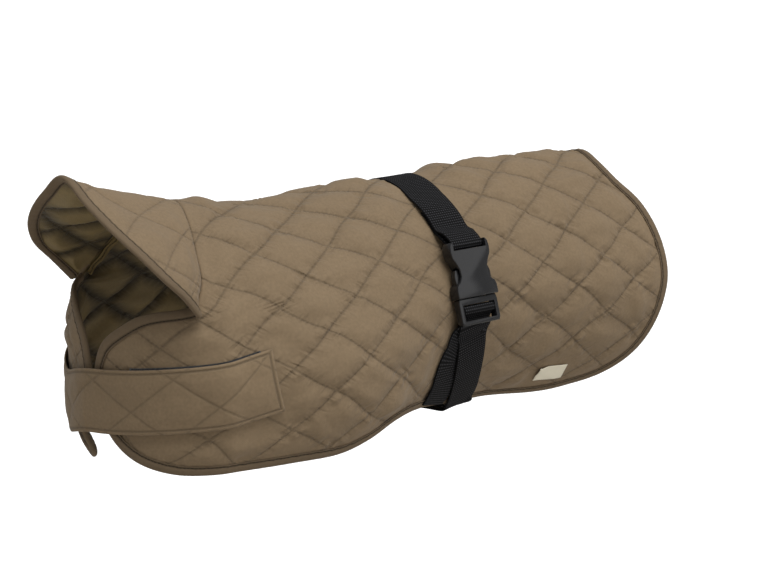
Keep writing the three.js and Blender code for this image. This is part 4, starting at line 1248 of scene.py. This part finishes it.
def softened(node, name):
    """A copy of a moulded solid with its doubles merged, flat faces joined and edges rounded."""
    shape = bmesh.new()
    shape.from_mesh(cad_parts[node].data)
    bmesh.ops.remove_doubles(shape, verts=shape.verts, dist=2e-5)
    bmesh.ops.dissolve_limit(
        shape, angle_limit=math.radians(1.5), verts=shape.verts, edges=shape.edges)
    sharp = [edge for edge in shape.edges
             if len(edge.link_faces) == 2 and edge.calc_face_angle() > math.radians(38)]
    bmesh.ops.bevel(shape, geom=sharp, offset=0.0006, segments=3, profile=0.5, affect="EDGES",
                    clamp_overlap=True)
    mesh = bpy.data.meshes.new(name)
    shape.to_mesh(mesh)
    shape.free()
    mesh.polygons.foreach_set("use_smooth", np.ones(len(mesh.polygons), bool))
    mesh.set_sharp_from_angle(angle=math.radians(35))
    piece = bpy.data.objects.new(name, mesh)
    bpy.context.scene.collection.objects.link(piece)
    return finish_piece(piece, [node], "buckle_plastic", "plastic")


def make_buckle():
    """The moulded socket and plug, with the rounded edges of moulded plastic."""
    softened("buckle_socket", "socket_shell")
    softened("buckle_plug", "plug_shell")


def make_label():
    """Blank ribbon sewn on near the hem, its front end standing a little off the cloth."""
    s, t = np.meshgrid(np.linspace(*LABEL_S, 33), np.linspace(*LABEL_T, 17), indexing="ij")
    lifted = 2.2 * ramp(LABEL_S[0] + 12 - s, 0, 12) * ramp(LABEL_T[1] - 6 - t, 0, 10)
    height = 3.0 + 0.25 * waves(s, t, 41, 18) + lifted
    outer = lift(worn, s, -t, height + 0.5)[:, ::-1]
    few = (slice(None, None, 2), slice(None, None, 2))
    inner = lift(worn, s, -t, height)[:, ::-1][few]
    uv = np.stack([s, t], -1)[:, ::-1] * MM
    piece = cloth_wall("blank_label", outer, inner, uv, uv)
    piece.data.polygons.foreach_set("material_index", np.zeros(len(piece.data.polygons), np.int32))
    return finish_piece(piece, ["care_label"], "label_cloth", "ribbon")


# Stage

CAMERA_TURN = 40.0
CAMERA_RISE = 13.0
CAMERA_FAR = 2200.0
FOCAL_PIXELS = 2376.0
IMAGE = (772.0, 579.0)
SENSOR = 36.0
ORIGIN_PIXEL = (376.7, 181.2)
FLOOR_DROP = 0.30


def make_camera():
    """Camera on the photograph's line of sight, moved sideways until the origin meets its pixel."""
    turn = math.radians(CAMERA_TURN)
    rise = math.radians(CAMERA_RISE)
    back = np.array([
        -math.sin(turn) * math.cos(rise), -math.cos(turn) * math.cos(rise), math.sin(rise)])
    right = np.array([math.cos(turn), -math.sin(turn), 0.0])
    up = np.cross(back, right)
    u = (ORIGIN_PIXEL[0] - IMAGE[0] / 2) / FOCAL_PIXELS * CAMERA_FAR
    v = -(ORIGIN_PIXEL[1] - IMAGE[1] / 2) / FOCAL_PIXELS * CAMERA_FAR
    place = (back * CAMERA_FAR - right * u - up * v) * MM
    data = bpy.data.cameras.new("photo_camera")
    data.sensor_width = SENSOR
    data.lens = FOCAL_PIXELS / IMAGE[0] * SENSOR
    data.clip_start = 0.05
    data.clip_end = 60
    camera = bpy.data.objects.new("photo_camera", data)
    bpy.context.scene.collection.objects.link(camera)
    camera.matrix_world = Matrix([
        [right[0], up[0], back[0], place[0]], [right[1], up[1], back[1], place[1]],
        [right[2], up[2], back[2], place[2]], [0, 0, 0, 1]])
    bpy.context.scene.camera = camera


def soft_sun(name, towards, spread, power):
    """A distant soft light; towards is the way from the coat to it and spread its width in degrees."""
    data = bpy.data.lights.new(name, "SUN")
    data.energy = power
    data.angle = math.radians(spread)
    light = bpy.data.objects.new(name, data)
    bpy.context.scene.collection.objects.link(light)
    back = unit(np.array(towards, float))
    side = unit(np.cross([0, 0, 1.0], back))
    up = np.cross(back, side)
    light.matrix_world = Matrix([
        [side[0], up[0], back[0], 0], [side[1], up[1], back[1], 0], [side[2], up[2], back[2], 0],
        [0, 0, 0, 1]])


def make_stage():
    """A pale floor well below the coat, white surroundings and two large soft lights."""
    make_camera()
    low = CAD_BOX[0][2] - FLOOR_DROP
    turn = np.linspace(0, math.tau, 96, endpoint=False)
    rings = np.array([0.02, 1.0, 3.0, 14.0])
    points = np.stack([
        rings[:, None] * np.cos(turn), rings[:, None] * np.sin(turn),
        np.full((len(rings), 96), low)], axis=-1).reshape(-1, 3) / MM
    i, k = np.meshgrid(np.arange(len(rings) - 1), np.arange(96), indexing="ij")
    a = (i * 96 + k).ravel()
    b = (i * 96 + (k + 1) % 96).ravel()
    quads = np.stack([a, a + 96, b + 96, b], axis=-1)
    floor = put_mesh("floor", points, [quads, np.arange(96)[None, :]], points[:, :2] * MM)
    material, tree, shader = start_material("pale_floor", 0.9, specular=0.1)
    ray = add(tree, "ShaderNodeLightPath").outputs["Is Camera Ray"]
    shade = mixed(tree, ray, (0.55, 0.53, 0.50, 1), (0.9, 0.9, 0.9, 1))
    tree.links.new(shade, shader.inputs["Base Color"])
    tree.links.new(mixed(tree, ray, (0, 0, 0, 1), (0.42, 0.42, 0.42, 1)), shader.inputs["Emission Color"])
    shader.inputs["Emission Strength"].default_value = 1.0
    floor.data.materials.append(material)
    world = bpy.data.worlds.new("studio")
    world.use_nodes = True
    tree = world.node_tree
    background = tree.nodes["Background"]
    background.inputs["Color"].default_value = (1, 1, 1, 1)
    ray = add(tree, "ShaderNodeLightPath").outputs["Is Camera Ray"]
    strength = sums(tree, "ADD", sums(tree, "MULTIPLY", ray, 0.70), 0.32)
    tree.links.new(strength, background.inputs["Strength"])
    bpy.context.scene.world = world
    bpy.context.scene.view_settings.view_transform = "Standard"
    soft_sun("overhead", (0.0, -0.4, 1.0), 42, 1.95)
    soft_sun("front_right", (0.5, -1.0, 0.45), 50, 0.50)


# Operators

class COAT_OT_stage(bpy.types.Operator):
    """Makes the floor, the lights and the camera."""
    bl_idname = "coat.stage"
    bl_label = "Stage"
    bl_options = {"REGISTER", "UNDO"}

    def execute(self, context):
        make_stage()
        return {"FINISHED"}


class COAT_OT_body(bpy.types.Operator):
    """Makes the quilted body panel with its lining and the tape round its edge."""
    bl_idname = "coat.body"
    bl_label = "Body panel"
    bl_options = {"REGISTER", "UNDO"}

    def execute(self, context):
        body, area, flat = make_body()
        tape = make_body_binding()
        return {"FINISHED"}


class COAT_OT_collar(bpy.types.Operator):
    """Makes the collar, its tape and the tape over the neck seam."""
    bl_idname = "coat.collar"
    bl_label = "Collar"
    bl_options = {"REGISTER", "UNDO"}

    def execute(self, context):
        collar, area = make_collar()
        tape = make_collar_binding()
        seam = make_neck_tape()
        return {"FINISHED"}


class COAT_OT_strap(bpy.types.Operator):
    """Makes the chest strap and the two tapes that close it."""
    bl_idname = "coat.strap"
    bl_label = "Chest strap"
    bl_options = {"REGISTER", "UNDO"}

    def execute(self, context):
        strap, area = make_strap()
        make_tapes()
        return {"FINISHED"}


class COAT_OT_belt(bpy.types.Operator):
    """Makes the belly belt and finishes its buckle."""
    bl_idname = "coat.belt"
    bl_label = "Belly belt and buckle"
    bl_options = {"REGISTER", "UNDO"}

    def execute(self, context):
        make_belt()
        make_buckle()
        return {"FINISHED"}


class COAT_OT_label(bpy.types.Operator):
    """Makes the blank label."""
    bl_idname = "coat.label"
    bl_label = "Label"
    bl_options = {"REGISTER", "UNDO"}

    def execute(self, context):
        make_label()
        return {"FINISHED"}


class COAT_PT_panel(bpy.types.Panel):
    """Lists the coat's parts and their sizes and colours."""
    bl_label = "Dog coat"
    bl_idname = "COAT_PT_panel"
    bl_space_type = "VIEW_3D"
    bl_region_type = "UI"
    bl_category = "Dog coat"

    def draw(self, context):
        for name in CoatSettings.__annotations__:
            self.layout.prop(context.scene.coat_settings, name)
        for operator in OPERATORS:
            self.layout.operator(operator.bl_idname)


OPERATORS = (COAT_OT_stage, COAT_OT_body, COAT_OT_collar, COAT_OT_strap, COAT_OT_belt, COAT_OT_label)
CLASSES = (CoatSettings, *OPERATORS, COAT_PT_panel)


def register():
    for item in CLASSES:
        bpy.utils.register_class(item)
    bpy.types.Scene.coat_settings = bpy.props.PointerProperty(type=CoatSettings)


def unregister():
    del bpy.types.Scene.coat_settings
    for item in reversed(CLASSES):
        bpy.utils.unregister_class(item)


def main():
    register()
    bpy.ops.coat.stage()
    bpy.ops.coat.body()
    bpy.ops.coat.collar()
    bpy.ops.coat.strap()
    bpy.ops.coat.belt()
    bpy.ops.coat.label()


if __name__ == "__main__":
    main()
